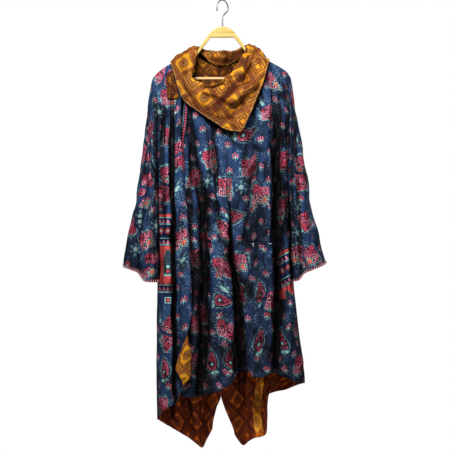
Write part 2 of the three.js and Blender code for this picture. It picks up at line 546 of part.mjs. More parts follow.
// The hook's wire: straight out of the wood, over to one side, then round to the other.
class HookLine extends THREE.Curve {
  getPoint(t, target = new THREE.Vector3()) {
    const centre = HOOK.bend - HOOK.wire;
    if (t < HOOK.rising) {
      const drop = mix(CROWN.drop - SEAM_GAP, centre, t / HOOK.rising);
      const lean = THREE.MathUtils.smoothstep(-drop, -HOOK.straight, -centre);
      return target.set(HOOK.bend * lean, 0, -drop);
    }
    const turn = THREE.MathUtils.degToRad(HOOK.turn * (t - HOOK.rising) / (1 - HOOK.rising));
    return target.set(HOOK.bend * Math.cos(turn), 0, HOOK.bend * Math.sin(turn) - centre);
  }
}

const hangerHook = () => {
  const wire = new THREE.Shape().absarc(0, 0, HOOK.wire, 0, 2 * Math.PI);
  const hook = new THREE.ExtrudeGeometry(wire, {
    steps: HOOK.steps, extrudePath: new HookLine(), curveSegments: HOOK.sides,
  });
  return hook.rotateZ(THREE.MathUtils.degToRad(HOOK.swivel));
};

// ---- The robe on its hanger ----
const solid = (geometry) => {
  geometry.deleteAttribute('uv');
  geometry.deleteAttribute('normal');
  return mergeVertices(geometry, 1e-3);
};

const robe = new THREE.Group();
const add = (name, geometry, material) => {
  const mesh = new THREE.Mesh(solid(geometry), material);
  mesh.name = name;
  robe.add(mesh);
};
const addCloth = (name, { grid, normals }, material, closed) => {
  add(name, clothWall(grid, normals, closed), material);
};

const mainPanel = frontMain();
const sidePanel = frontSide();
addCloth('front_main', mainPanel, CLOTH.outside);
addCloth('front_side', sidePanel, CLOTH.outside);
addCloth('back_left', backLeft(), CLOTH.outside);
addCloth('back_right', backRight(), CLOTH.outside);
addCloth('sleeve_left', sleeve(SIDES.left, SLEEVES.left), CLOTH.outside, true);
addCloth('sleeve_right', sleeve(SIDES.right, SLEEVES.right), CLOTH.outside, true);
addCloth('collar', collar(), CLOTH.inside, true);
addCloth('collar_stand', laidOn(sidePanel, STAND_PATCH), CLOTH.inside);
addCloth('pocket', laidOn(mainPanel, POCKET_PATCH), CLOTH.outside);
add('hanger_board', hangerBoard(), WOOD);
add('hanger_bar', hangerBar(), WOOD);
add('hanger_hook', hangerHook(), STEEL);

export default robe;
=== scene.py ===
"""A long reversible wrap robe with a draped shawl collar, on a wooden hanger.

Sizes are in millimetres, as the cutter would give them: x to the viewer's right, y to the back, and
a drop, which is the distance down from the inside top of the hanger's hook. Meshes are in metres.
"""
import math

import bpy
import numpy as np
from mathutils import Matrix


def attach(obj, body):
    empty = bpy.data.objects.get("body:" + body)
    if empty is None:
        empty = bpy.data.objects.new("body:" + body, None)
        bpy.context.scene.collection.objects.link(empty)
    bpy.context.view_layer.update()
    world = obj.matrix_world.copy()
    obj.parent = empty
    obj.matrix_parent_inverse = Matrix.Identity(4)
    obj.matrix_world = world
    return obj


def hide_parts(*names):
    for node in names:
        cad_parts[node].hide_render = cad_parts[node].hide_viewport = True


MM = 0.001
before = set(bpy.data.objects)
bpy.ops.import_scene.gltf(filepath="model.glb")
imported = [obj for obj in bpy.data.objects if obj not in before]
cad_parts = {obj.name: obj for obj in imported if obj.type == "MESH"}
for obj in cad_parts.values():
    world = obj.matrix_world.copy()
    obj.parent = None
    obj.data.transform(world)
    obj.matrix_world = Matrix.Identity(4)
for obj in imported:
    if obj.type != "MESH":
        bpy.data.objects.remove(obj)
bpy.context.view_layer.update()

# ---- The main front ----
# The wide front panel, cotton printed navy outside and mustard inside. It hangs from the right
# shoulder and the neck seam, laps over the side front and is sewn to the back down the right side.
SEAM_GAP = 0.3
# The slope of the hanger under the cloth, alike on both sides: how far out, and the drop there.
SHOULDER_OUT = (60, 82, 156, 184, 203, 212, 222)
SHOULDER_DROP = (143, 154, 195, 211, 226, 240, 265)
SHOULDER_ROLL = 10
SETTLE = 45
ARMHOLE = {"top": 240, "bottom": 513, "half depth": 42}
# Each side edge: the drops down it, and x at each.
LEFT_SIDE = ((240, 513, 573, 753, 953, 1153, 1297), (-214, -208, -204, -201, -202, -204, -202))
RIGHT_SIDE = ((240, 513, 573, 753, 866, 953, 1083, 1185), (211, 206, 208, 214, 219, 228, 243, 255))
# Rows over the roll at the top, below a line's start, and into how many parts the gaps between them are
# cut, and those between all other rows and between fold lines.
ROLL_ROWS = (0, 1, 3, 10, 28)
ROLL_PARTS = 3
PARTS = 9

# Fold lines down the panel: start (x, drop), x and depth at each level, and (x, drop) at the hem.
MAIN_LEVELS = (253, 403, 553, 753, 953, 1153)
MAIN_FOLDS = [
    ("free edge", (-119, 308), (-126, -126, -126, -126, -126, -126),
     (-42, -44, -44, -42, -42, -44), (-126, 1225)),
    ("ridge by the edge", (-110, 311), (-116, -113, -101, -82, -82, -85),
     (-46, -52, -57, -60, -50, -44), (-101, 1227)),
    ("wide shaded trough", (-101, 316), (-110, -101, -74, -60, -60, -73),
     (-45, -44, -38, -22, -14, -14), (-76, 1226)),
    ("lip of the trough", (-82, 320), (-85, -70, -51, -26, -29, -48),
     (-48, -55, -61, -60, -64, -70), (-55, 1221)),
    ("narrow crease", (-54, 325), (-54, -29, -23, -11, -11, -26),
     (-46, -49, -52, -62, -72, -80), (-33, 1214)),
    ("crown of the left fold", (-26, 327), (-26, -14, -5, 2, 11, 5),
     (-48, -56, -64, -68, -78, -86), (-8, 1206)),
    ("pleat, left lip", (-5, 325), (-8, 2, 8, 14, 28, 28), (-47, -57, -65, -66, -74, -80), (28, 1182)),
    ("pleat, bottom", (14, 319), (8, 14, 17, 24, 47, 54), (-46, -56, -60, -40, -16, -10), (51, 1151)),
    ("pleat, right lip", (29, 308), (23, 26, 26, 38, 68, 79), (-46, -56, -64, -62, -62, -68), (78, 1144)),
    ("crown of the right fold", (48, 286), (48, 54, 54, 60, 88, 101),
     (-46, -57, -64, -64, -68, -76), (95, 1164)),
    ("neck side", (72, 228), (74, 82, 79, 84, 105, 112), (-44, -52, -50, -54, -64, -71), (106, 1165)),
    ("soft trough", (84, 164), (93, 94, 92, 100, 116, 122), (-44, -50, -46, -50, -61, -68), (118, 1165)),
    ("soft ridge", (86, None), (107, 107, 110, 122, 129, 132), (-44, -55, -54, -58, -68, -73), (129, 1164)),
    ("bright ridge", (128, None), (132, 141, 143, 147, 149, 147),
     (-42, -60, -64, -68, -74, -78), (147, 1151)),
    ("deep trough", (158, None), (158, 166, 161, 163, 163, 158),
     (-38, -24, -12, -10, -14, -34), (158, 1151)),
    ("side ridge", (178, None), (176, 181, 183, 197, 206, 209),
     (-38, -42, -38, -44, -54, -66), (194, 1165)),
    ("side hollow", (196, None), (195, 198, 200, 209, 222, 235),
     (-34, -38, -24, -22, -26, -34), (232, 1184)),
]
MAIN_ROWS = {"upper": 3, "from": 400, "to": 1096, "level": 17, "lower": 2}


def through(knots, values, at):
    """Smooth curve that never overshoots its knots: cubic pieces, whose slope at an inner knot is the
    harmonic mean of the rises beside it, or 0 where these differ in sign, and 0 at both ends."""
    knots = np.asarray(knots, float)
    values = np.asarray(values, float)
    at = np.clip(np.asarray(at, float), knots[0], knots[-1])
    spread = (slice(None),) + (None,) * (values.ndim - 1)
    rise = np.diff(values, axis=0) / np.diff(knots)[spread]
    product = rise[:-1] * rise[1:]
    total = rise[:-1] + rise[1:]
    inner = np.where(product > 0, 2 * product / np.where(total == 0, 1, total), 0)
    slope = np.concatenate([np.zeros_like(values[:1]), inner, np.zeros_like(values[:1])])
    i = np.clip(np.searchsorted(knots, at, side="right") - 1, 0, len(knots) - 2)
    span = knots[i + 1] - knots[i]
    t = (at - knots[i]) / span
    if values.ndim > 1:
        grow = (...,) + (None,) * (values.ndim - 1)
        t, span = t[grow], span[grow]
    return ((2 * t**3 - 3 * t**2 + 1) * values[i] + (t**3 - 2 * t**2 + t) * span * slope[i]
            + (3 * t**2 - 2 * t**3) * values[i + 1] + (t**3 - t**2) * span * slope[i + 1])


def shoulder_drop(x):
    """Drop of the hanger's slope at x: the smooth curve through its points."""
    return through(SHOULDER_OUT, SHOULDER_DROP, np.abs(x))


def hung_depth(x, drop, full):
    """A round turn over the hanger, sqrt(t(2R - t)) for the first R of drop, then out to the full
    depth as 1 - exp(-drop / SETTLE)."""
    below = np.maximum(drop - shoulder_drop(x), 0)
    turned = np.minimum(below, SHOULDER_ROLL)
    roll = np.sqrt(turned * (2 * SHOULDER_ROLL - turned))
    settled = 1 - np.exp(-(below - turned) / SETTLE)
    return np.sign(full) * (roll + (np.abs(full) - SHOULDER_ROLL) * settled)


def row_drops(start, hem, rows, corner=None):
    """Drops of the rows from a line's start to its hem: rolled, upper, level and lower ones, and finer
    ones in equal parts between them."""
    rolled = start + np.array(ROLL_ROWS, float)
    upper = np.linspace(rolled[-1], rows["from"], rows["upper"] + 2)[1:-1]
    level = np.linspace(rows["from"], rows["to"], rows["level"])
    lower = np.linspace(rows["to"], hem, rows["lower"] + 1)[1:]
    drops = np.concatenate([rolled, upper, level, lower])
    if corner:
        drops[np.argmin(np.abs(drops - corner))] = corner
    cuts = np.where(np.arange(len(drops) - 1) < len(ROLL_ROWS) - 1, ROLL_PARTS, PARTS)
    places = np.concatenate([i + np.arange(n) / n for i, n in enumerate(cuts)])
    return np.interp(np.append(places, len(drops) - 1), np.arange(len(drops)), drops)


def fold_line(fold, levels, facing, rows):
    """Points down one fold line, shape (rows, 3): smooth curves through its start, its levels and its
    hem. x leaves out the levels within 40 mm of the start or 30 mm of the hem."""
    _, (top_x, start), xs, ys, (hem_x, hem) = fold
    start = float(shoulder_drop(top_x)) if start is None else start
    levels = np.array(levels, float)
    used = (levels > start + 40) & (levels < hem - 30)
    knots = np.concatenate([[start], levels[used], [hem]])
    places = np.concatenate([[top_x], np.array(xs, float)[used], [hem_x]])
    drops = row_drops(start, hem, rows)
    x = through(knots, places, drops)
    y = hung_depth(x, drops, through(levels, ys, drops)) + facing * SEAM_GAP / 2
    return np.stack([x, y, drops], axis=-1)


def side_line(side, facing, rows):
    """Points down a side edge: round the armhole's rim, half an ellipse, then down the side seam."""
    half = (ARMHOLE["bottom"] - ARMHOLE["top"]) / 2
    drops = row_drops(ARMHOLE["top"], side[0][-1], rows, ARMHOLE["bottom"])
    reach = (drops - ARMHOLE["top"] - half) / half
    depth = ARMHOLE["half depth"] * np.sqrt(np.maximum(1 - reach**2, 0))
    return np.stack([through(*side, drops), facing * (depth + SEAM_GAP / 2), drops], axis=-1)


def panel(lines, facing):
    """Grid (rows, columns, 3) of the fold lines joined across by smooth curves."""
    columns = np.arange((len(lines) - 1) * PARTS + 1) / PARTS
    grid = through(np.arange(len(lines)), np.stack(lines), columns).transpose(1, 0, 2)
    grid[..., 1] = facing * np.maximum(facing * grid[..., 1], SEAM_GAP / 2)
    return grid


def along_rows(grid, closed):
    """The way along its row at each point, from the neighbour before it to the one after it."""
    if not closed:
        return np.gradient(grid, axis=1)
    wide = np.concatenate([grid[:, -1:], grid, grid[:, :1]], axis=1)
    return wide[:, 2:] - wide[:, :-2]


def normals_of(grid, closed=False):
    """Unit normals, down x across, in x, y and drop: out of the front of a grid whose columns run to the
    right."""
    flip = np.array([1, 1, -1])
    normal = np.cross(np.gradient(grid, axis=0) * flip, along_rows(grid, closed) * flip)
    return normal / np.maximum(np.linalg.norm(normal, axis=-1, keepdims=True), 1e-9) * flip


def cloth_lengths(grid, middle, closed=False):
    """(u, v) of each grid point: its length along its row from the middle column, and down its column
    from the top, where v is the drop."""
    steps = np.linalg.norm(np.diff(grid, axis=1), axis=-1)
    u = np.concatenate([np.zeros((len(grid), 1)), np.cumsum(steps, axis=1)], axis=1)
    u -= u[:, middle:middle + 1]
    if closed:
        u = np.where(np.arange(grid.shape[1]) > grid.shape[1] // 2, u - u[:, -1:], u)
    steps = np.linalg.norm(np.diff(grid, axis=0), axis=-1)
    return u, np.concatenate([grid[:1, :, 2], grid[:1, :, 2] + np.cumsum(steps, axis=0)])


def beside(grid, x0, drop0, x1, drop1):
    """Where each point lies by the line from (x0, drop0) to (x1, drop1): the share of its length along
    it, and millimetres off it."""
    x, drop = grid[..., 0] - x0, grid[..., 2] - drop0
    run_x, run_drop = x1 - x0, drop1 - drop0
    length = math.hypot(run_x, run_drop)
    return (x * run_x + drop * run_drop) / length**2, (x * run_drop - drop * run_x) / length


def creased(grid, creases, seed, closed=False, rumple=0.7):
    """The grid moved along its normals by creases and an overall rumple of 14 slanting waves. A crease
    is (x, drop) to (x, drop), half width, height: 1.4 * height * exp(-(off / width)^2), bowed along its
    length and less at its ends."""
    push = np.zeros(grid.shape[:2])
    for x0, drop0, x1, drop1, width, height in creases:
        along, off = beside(grid, x0, drop0, x1, drop1)
        off += width * 0.5 * np.sin(along * 5 + x0)
        ends = np.clip(np.minimum(along, 1 - along) * 4 + 0.15, 0, 1)
        push += 1.4 * height * np.exp(-(off / width) ** 2) * ends**1.5
    u, v = cloth_lengths(grid, 0, closed)
    draw = np.random.default_rng(seed)
    for _ in range(14):
        size = draw.uniform(24, 90)
        lean = draw.normal(0, 0.35)
        push += rumple * size / 60 * np.sin((u * math.cos(lean) + v * math.sin(lean)) * 2 * np.pi / size
                                            + 2 * np.sin(v / draw.uniform(70, 200)) + draw.uniform(0, 6))
    edge = np.minimum(np.arange(len(grid)), np.arange(len(grid))[::-1])[:, None] / 6
    if not closed:
        columns = np.arange(grid.shape[1])
        edge = np.minimum(edge, np.minimum(columns, columns[::-1]) / 4)
    return grid + normals_of(grid, closed) * (push * np.clip(edge, 0.1, 1))[..., None]


def hollows(grid):
    """0 on ridges to 1 where the cloth lies 5 mm behind the mean depth around it, which is weighed by a
    bell over 33 columns. The materials darken the cloth by it, as painted shade in the folds."""
    facing = math.copysign(1, grid[..., 1].mean())
    depth = np.pad(grid[..., 1] * facing, ((0, 0), (16, 16)), mode="edge")
    weights = np.exp(-np.linspace(-2, 2, 33) ** 2)
    mean = np.stack([np.convolve(row, weights / weights.sum(), "valid") for row in depth])
    return np.clip((mean - grid[..., 1] * facing + 1) / 6, 0, 1)


def shaded(grid, strips):
    """Painted shade where the cloth lies deep and dark: each strip is (x, drop) to (x, drop), half width,
    depth, and darkens by depth * exp(-(off / width)^4), swaying a little and as soft past its ends."""
    drop = grid[..., 2]
    dark = np.zeros(drop.shape)
    for x0, drop0, x1, drop1, width, depth in strips:
        along, off = beside(grid, x0, drop0, x1, drop1)
        past = np.maximum(np.abs(along - 0.5) - 0.5, 0) * math.hypot(x1 - x0, drop1 - drop0)
        off += 0.3 * width * (np.sin(drop / 37 + x0) + np.sin(drop / 83 + drop0))
        dark = np.maximum(dark, depth * np.exp(-np.hypot(off, past) ** 4 / width**4))
    return dark


def give(piece, name, *fields):
    """Writes up to three numbers for each point of the piece, for its material to read."""
    values = np.zeros((len(piece.data.vertices), 3), np.float32)
    for place, field in enumerate(fields):
        values[:, place] = np.ravel(field)
    layer = piece.data.attributes.new(name, "FLOAT_VECTOR", "POINT")
    layer.data.foreach_set("vector", values.ravel())


def find(grid, u, v, motifs):
    """(u, v, turn, kind) of motifs given as (x, drop, turn, kind): where the foremost point of the
    grid that hangs at (x, drop) lies in the cloth."""
    found = []
    for x, drop, turn, kind in motifs:
        away = np.hypot(grid[..., 0] - x, grid[..., 2] - drop)
        near = np.where(away < max(5, away.min() + 1), grid[..., 1], np.inf)
        at = np.unravel_index(np.argmin(near), near.shape)
        found.append((u[at], v[at], turn, kind))
    return found


# How far a sprig, a paisley, a square, a square with a flower and a round flower reach: kinds 0 to 4.
REACH = (16, 46, 43, 43, 28)


def lay(piece, name, u, v, motifs):
    """Gives each point its place on the nearest motif, in millimetres, how near it is (1 at the
    motif's centre, 0 at its reach), the motif's kind and how much farther the next motif is. A motif
    is (u, v, turn, kind)."""
    u, v = np.ravel(u), np.ravel(v)
    best, second = np.full(u.shape, 9.0), np.full(u.shape, 9.0)
    x, y, kinds = np.zeros(u.shape), np.zeros(u.shape), np.zeros(u.shape)
    for at_u, at_v, turn, kind in motifs:
        du, dv = u - at_u, at_v - v
        away = np.hypot(du, dv) / REACH[kind]
        here = away < best
        second = np.where(here, best, np.minimum(second, away))
        best = np.where(here, away, best)
        cos, sin = math.cos(math.radians(turn)), math.sin(math.radians(turn))
        x = np.where(here, du * cos - dv * sin, x)
        y = np.where(here, du * sin + dv * cos, y)
        kinds = np.where(here, kind, kinds)
    give(piece, name, x, y, np.maximum(1 - best, 0))
    give(piece, name + "_kind", kinds, np.minimum(second - best, 1))


SPRIG_PITCH = (58, 42)


def sprigs(u, v, motifs, seed):
    """Sprigs in staggered rows all over the cloth, none under a larger motif."""
    draw = np.random.default_rng(seed)
    across, down = SPRIG_PITCH
    laid = []
    for row, at_v in enumerate(np.arange(v.min(), v.max(), down)):
        for at_u in np.arange(u.min() + across / 2 * (row % 2), u.max(), across):
            place = (at_u + draw.normal(0, 3), at_v + draw.normal(0, 3))
            if all(math.hypot(place[0] - m[0], place[1] - m[1]) > REACH[m[3]] * 0.75 + 8 for m in motifs):
                laid.append((*place, draw.normal(0, 8), 0))
    return laid


def lay_print(piece, u, v, motifs, seed, bare=()):
    """Lays these motifs on the piece, and sprigs between them, but none on the bare places."""
    lay(piece, "motif", u, v, motifs)
    lay(piece, "sprig", u, v, sprigs(u, v, [*motifs, *bare], seed))


def new_piece(name, points, faces):
    """A smooth mesh of points given as x, y and drop in millimetres, placed in the scene."""
    mesh = bpy.data.meshes.new(name)
    mesh.from_pydata(points.reshape(-1, 3) * (MM, MM, -MM), [], faces)
    mesh.shade_smooth()
    piece = bpy.data.objects.new(name, mesh)
    bpy.context.scene.collection.objects.link(piece)
    return piece


def cloth_mesh(name, grid, closed=False, inside_out=False):
    """The grid as a mesh of quads, joined round where its rows are closed."""
    rows, columns = grid.shape[:2]
    number = np.arange(rows * columns).reshape(rows, columns)
    if closed:
        number = np.concatenate([number, number[:, :1]], axis=1)
    quads = np.stack([number[:-1, :-1], number[1:, :-1], number[1:, 1:], number[:-1, 1:]], axis=-1)
    quads = quads[..., ::-1] if inside_out else quads
    return new_piece(name, grid, quads.reshape(-1, 4))


def walled(piece, outside, inside, wall=1.6):
    """Gives the cloth its two sides and the wall between them."""
    piece.data.materials.append(outside)
    piece.data.materials.append(inside)
    shell = piece.modifiers.new("wall", "SOLIDIFY")
    shell.thickness = wall * MM
    shell.offset = 0
    shell.material_offset = 1
    shell.use_quality_normals = True


def add_node(tree, kind, inputs, **settings):
    """A node with these settings. Each of its inputs is given a number or colour, or linked to a socket."""
    node = tree.nodes.new(kind)
    for setting, value in settings.items():
        setattr(node, setting, value)
    for name, value in inputs.items():
        if isinstance(value, bpy.types.NodeSocket):
            tree.links.new(value, node.inputs[name])
        else:
            node.inputs[name].default_value = value
    return node


class Value:
    """A number in a material's nodes: arithmetic on it adds math nodes."""

    def __init__(self, tree, socket):
        self.tree, self.socket = tree, socket

    def math(self, operation, *others):
        """This number and the others, which may be plain ones, put through a math node."""
        values = [value.socket if isinstance(value, Value) else value for value in (self, *others)]
        node = add_node(self.tree, "ShaderNodeMath", dict(enumerate(values)), operation=operation)
        return Value(self.tree, node.outputs[0])

    def __add__(self, other):
        return self.math("ADD", other)

    def __sub__(self, other):
        return self.math("SUBTRACT", other)

    def __mul__(self, other):
        return self.math("MULTIPLY", other)

    def __truediv__(self, other):
        return self.math("DIVIDE", other)

    def __pow__(self, other):
        return self.math("POWER", other)

    def __abs__(self):
        return self.math("ABSOLUTE")

    def rising(self, low, high):
        """0 below low, 1 above high, smooth between; the other way round where low is above high."""
        node = add_node(self.tree, "ShaderNodeMapRange",
                        {"Value": self.socket, "From Min": low, "From Max": high},
                        interpolation_type="SMOOTHSTEP")
        return Value(self.tree, node.outputs["Result"])

    def band(self, low, high, soft=0.8):
        """1 between low and high, 0 outside, with soft edges."""
        return self.rising(low - soft / 2, low + soft / 2) * self.rising(high + soft / 2, high - soft / 2)

    def repeat(self, pitch):
        """Distance from the nearest multiple of pitch."""
        return abs((self / pitch + 0.5).math("FRACT") - 0.5) * pitch


def dye(red, green, blue):
    """Linear colour of 0 to 255 screen values."""
    parts = np.array([red, green, blue]) / 255
    return (*np.where(parts <= 0.04045, parts / 12.92, ((parts + 0.055) / 1.055) ** 2.4), 1)


def plain(name, sockets):
    """A material with these values on its shader's own sockets."""
    stuff = bpy.data.materials.new(name)
    stuff.use_nodes = True
    for socket, value in sockets.items():
        stuff.node_tree.nodes["Principled BSDF"].inputs[socket].default_value = value
    return stuff


class Print:
    """A printed cloth's material, painted layer over layer."""

    def __init__(self, name, ground):
        self.stuff = plain(name, {"Roughness": 0.7, "Specular IOR Level": 0.12})
        self.tree = self.stuff.node_tree
        self.color = self.tree.nodes.new("ShaderNodeRGB").outputs[0]
        self.color.default_value = ground
        # The third number under 'cloth' is painted shade: 0 in the light, up to 1 deep in a fold.
        self.u, self.v, self.hollow = self.read("cloth")

    def read(self, name):
        """The three numbers that the piece's points give under this name."""
        layer = add_node(self.tree, "ShaderNodeAttribute", {}, attribute_name=name)
        parts = add_node(self.tree, "ShaderNodeSeparateXYZ", {0: layer.outputs["Vector"]})
        return [Value(self.tree, socket) for socket in parts.outputs]

    def noise(self, size, longer=1, detail=1):
        """Smooth noise in the cloth, with grains of that size, and longer down the cloth."""
        place = add_node(self.tree, "ShaderNodeCombineXYZ",
                         {0: (self.u / size).socket, 1: (self.v / (size * longer)).socket})
        grains = add_node(self.tree, "ShaderNodeTexNoise",
                          {"Scale": 1, "Detail": detail, "Vector": place.outputs[0]})
        return Value(self.tree, grains.outputs[0])

    def paint(self, color, mask, blend="MIX"):
        """Lays a colour over what is printed so far, as thick as the mask says."""
        mix = add_node(self.tree, "ShaderNodeMix", {0: mask.socket, 6: self.color, 7: color},
                       data_type="RGBA", blend_type=blend)
        self.color = mix.outputs[2]

    def shade(self, mask, red, green, blue):
        """Darkens what is printed so far, down to these shares of it."""
        self.paint((red, green, blue, 1), mask, "MULTIPLY")

    def finish(self, height):
        """Darkens the folds where little light gets in, and sets the relief, given in millimetres."""
        shelter = add_node(self.tree, "ShaderNodeAmbientOcclusion", {"Distance": 0.08}, samples=6)
        self.shade(Value(self.tree, shelter.outputs["AO"]).rising(0.92, 0.25), 0.07, 0.05, 0.05)
        relief = add_node(self.tree, "ShaderNodeBump",
                          {"Strength": 1, "Distance": MM, "Height": height.socket})
        shader = self.tree.nodes["Principled BSDF"]
        self.tree.links.new(relief.outputs[0], shader.inputs["Normal"])
        self.tree.links.new(self.color, shader.inputs["Base Color"])
        return self.stuff


CORAL, PINK, CRIMSON = dye(226, 86, 80), dye(236, 134, 158), dye(218, 72, 98)
MINT, PEACH, TEAL, INK = dye(150, 208, 202), dye(222, 116, 92), dye(84, 118, 130), dye(18, 18, 28)
CREAM = dye(232, 236, 226)


def apart(x, y):
    """Distance of (x, y) from (0, 0)."""
    return (x * x + y * y) ** 0.5


def print_sprigs(cloth):
    """A fan of petals, coral here and pink there, with a cream heart, over two leaves and a stem."""
    x, y, near = cloth.read("sprig")
    here = near.rising(0, 0.1)
    far, turn = apart(x, y), x.math("ARCTAN2", y)
    petals = (far + abs(turn) * 2.2).band(5, 14) * turn.repeat(0.75).rising(0.21, 0.11)
    petals = petals * abs(turn).rising(1.8, 1.65) * here
    cloth.paint(CORAL, petals)
    cloth.paint(PINK, petals * cloth.noise(40).rising(0.42, 0.52))
    cloth.paint(CREAM, far.rising(3.2, 2.4) * here * 0.8)
    leaves = abs(abs(turn) - 2.2).rising(0.26, 0.14) * far.band(4, 10)
    stem = abs(x).rising(1.1, 0.6) * y.band(-12, 0)
    cloth.paint(MINT, leaves.math("MAXIMUM", stem) * here * 0.75)


def print_square(cloth, x, y, near, square, maze):
    """A patchwork square with scrolls round it: a crimson maze on ink, pink in two of its quarters, one
    of them dotted, and beads along the lower edge."""
    half = 27
    side = abs(x).math("MAXIMUM", abs(y))
    scroll = cloth.noise(13, detail=0)
    around = side.band(half, half + 11) * square * near.rising(0.05, 0.14)
    cloth.paint(TEAL, abs(scroll - 0.5).rising(0.045, 0.025) * around)
    cloth.paint(MINT, abs(scroll - 0.62).rising(0.035, 0.02) * side.band(half, half + 9) * square)
    block = side.rising(half, half - 1) * square
    quarters = (x * y).rising(-1, 1)
    cloth.paint(INK, block * 0.75)
    cloth.paint(CRIMSON, block * maze)
    cloth.paint(PINK, block * maze * quarters * 0.8)
    dots = x.repeat(half / 4).rising(1.3, 0.8) * y.repeat(half / 4).rising(1.3, 0.8)
    cloth.paint(MINT, dots * block * quarters * x.rising(1, -1) * 0.8)
    beads = side.band(half - 1.5, half + 1.5) * (x + y).repeat(6).rising(1.8, 1.2)
    cloth.paint(MINT, beads * square * y.rising(1, -1) * 0.8)


def print_patch_flower(cloth, x, y, here):
    """Eight peach petals with mint tips on a round of ink, with a crimson ring for a heart."""
    far = apart(x, y)
    star = x.math("ARCTAN2", y).repeat(0.785) * far
    cloth.paint(INK, far.rising(13, 12) * here)
    cloth.paint(MINT, star.rising(2.4, 1.6) * far.band(7, 13) * here)
    cloth.paint(PEACH, far.rising(8.2, 7.4) * star.rising(3.2, 2.4) * here)
    cloth.paint(CRIMSON, far.band(2.4, 3.8) * here)


def print_bloom(cloth, x, y, bloom):
    """A round flower: five mint petals and a cream eye, inside six ribbed leaves in outline, each as
    wide as a half circle drawn out."""
    far, turn = apart(x, y), x.math("ARCTAN2", y)
    leaf = (far - 10) / 15
    leaf_edge = turn.repeat(1.05) * far - (leaf * (leaf * -1 + 1)).math("MAXIMUM", 0.0) ** 0.5 * 10
    cloth.paint(TEAL, abs(leaf_edge + 0.7).rising(1.1, 0.6) * far.band(10, 25) * bloom)
    cloth.paint(MINT, turn.repeat(1.05).rising(0.1, 0.06) * far.band(12, 20) * bloom * 0.8)
    cloth.paint(MINT, far.rising(8.5, 7.5) * (turn.repeat(1.257) * far).rising(3.6, 2.8) * bloom)
    cloth.paint(INK, far.rising(3.8, 3.2) * bloom)
    cloth.paint(CREAM, far.rising(2.6, 2) * bloom)


def print_drops(cloth, x, y, here):
    """A mint oval on each side of x = 0; x and y are measured in its half axes."""
    cloth.paint(MINT, (x * x + y * y).rising(1.15, 0.85) * here)


def print_paisley(cloth, x, y, paisley, maze):
    """A leaf with a beaded edge, crimson and pink on ink, with an eye and two drops under it. Its half
    width is 52 * tall^0.5 * (1 - tall)^0.9, where tall goes from 0 at its foot to 1 at its tip."""
    foot, height = -29, 67
    tall = ((y - foot) / height).math("MAXIMUM", 0.0).math("MINIMUM", 1.0)
    inside = tall**0.5 * (tall * -1 + 1) ** 0.9 * 52 - abs(x)
    cloth.paint(INK, inside.rising(-2, 0) * paisley * 0.8)
    cloth.paint(CRIMSON, inside.rising(3.4, 4.6) * maze * paisley * 0.75)
    cloth.paint(PINK, inside.band(3.4, 7) * maze * paisley * 0.8)
    beads = x.repeat(5).rising(1.9, 1.2) * y.repeat(5).rising(1.9, 1.2)
    cloth.paint(MINT, inside.band(-5, -0.5) * beads * paisley * 0.85)
    eye = apart(x, y + 8)
    cloth.paint(INK, eye.rising(9, 8) * paisley)
    cloth.paint(MINT, eye.rising(5, 4) * paisley)
    print_drops(cloth, (abs(x) - 7.5) / 7, (y + 35) / 4.4, paisley)


def print_border(cloth):
    """The striped border: bars and rows of teeth across it, a row of flowers, an arch in the widest bar,
    and a row of diamonds. The arch's half width is 14 * up^0.45, where up goes from 0 to 1 in 34 mm."""
    across, along, there = cloth.read("border")
    there = there.rising(0.45, 0.55)
    cloth.paint(dye(30, 46, 80), there)
    for low, high, color in ((-4, 4, CORAL), (5, 8, MINT), (25, 28, MINT), (69, 72, MINT), (89, 92, MINT),
                             (94, 211, CORAL), (213, 216, MINT), (235, 238, MINT)):
        cloth.paint(color, along.band(low, high) * there)
    for low, high in ((10, 23), (74, 87), (218, 231)):
        rise = (along - low) / (high - low)
        cloth.paint(PINK, (across.repeat(13) - rise * 5.5).rising(0, -0.8) * along.band(low, high) * there)
    flower_x, flower_y = across.repeat(22), along * -1 + 48
    flower_far = apart(flower_x, flower_y)
    petals = flower_y.math("ARCTAN2", flower_x).repeat(0.7).rising(0.3, 0.2)
    cloth.paint(CORAL, flower_far.rising(9, 7.5) * petals * there)
    cloth.paint(MINT, flower_far.rising(3.4, 2.4) * there)
    x = abs(across)
    arch_top, arch_foot = 104, 182
    up = ((along - arch_top) / 34).math("MAXIMUM", 0.0).math("MINIMUM", 1.0)
    inside = up ** 0.45 * 14 - x
    tall = along.band(arch_top, arch_foot) * there
    arch = inside.rising(0, 1) * tall
    cloth.paint(INK, arch)
    dots = across.repeat(4).rising(1.4, 0.9) * along.repeat(4.5).rising(1.5, 1)
    cloth.paint(TEAL, (inside.band(0.5, 2.5) * tall).math("MAXIMUM", dots * arch))
    for eye_at, color in ((158, MINT), (172, CRIMSON)):
        cloth.paint(color, apart(x, along - eye_at).rising(5.5, 4.5) * there)
    print_drops(cloth, (x - 7) / 6.5, (along - 184) / 4, there)
    diamond = x.math("MAXIMUM", abs(along - 262))
    cloth.paint(MINT, diamond.band(7, 10) * there)
    cloth.paint(CORAL, diamond.rising(5, 4) * there)


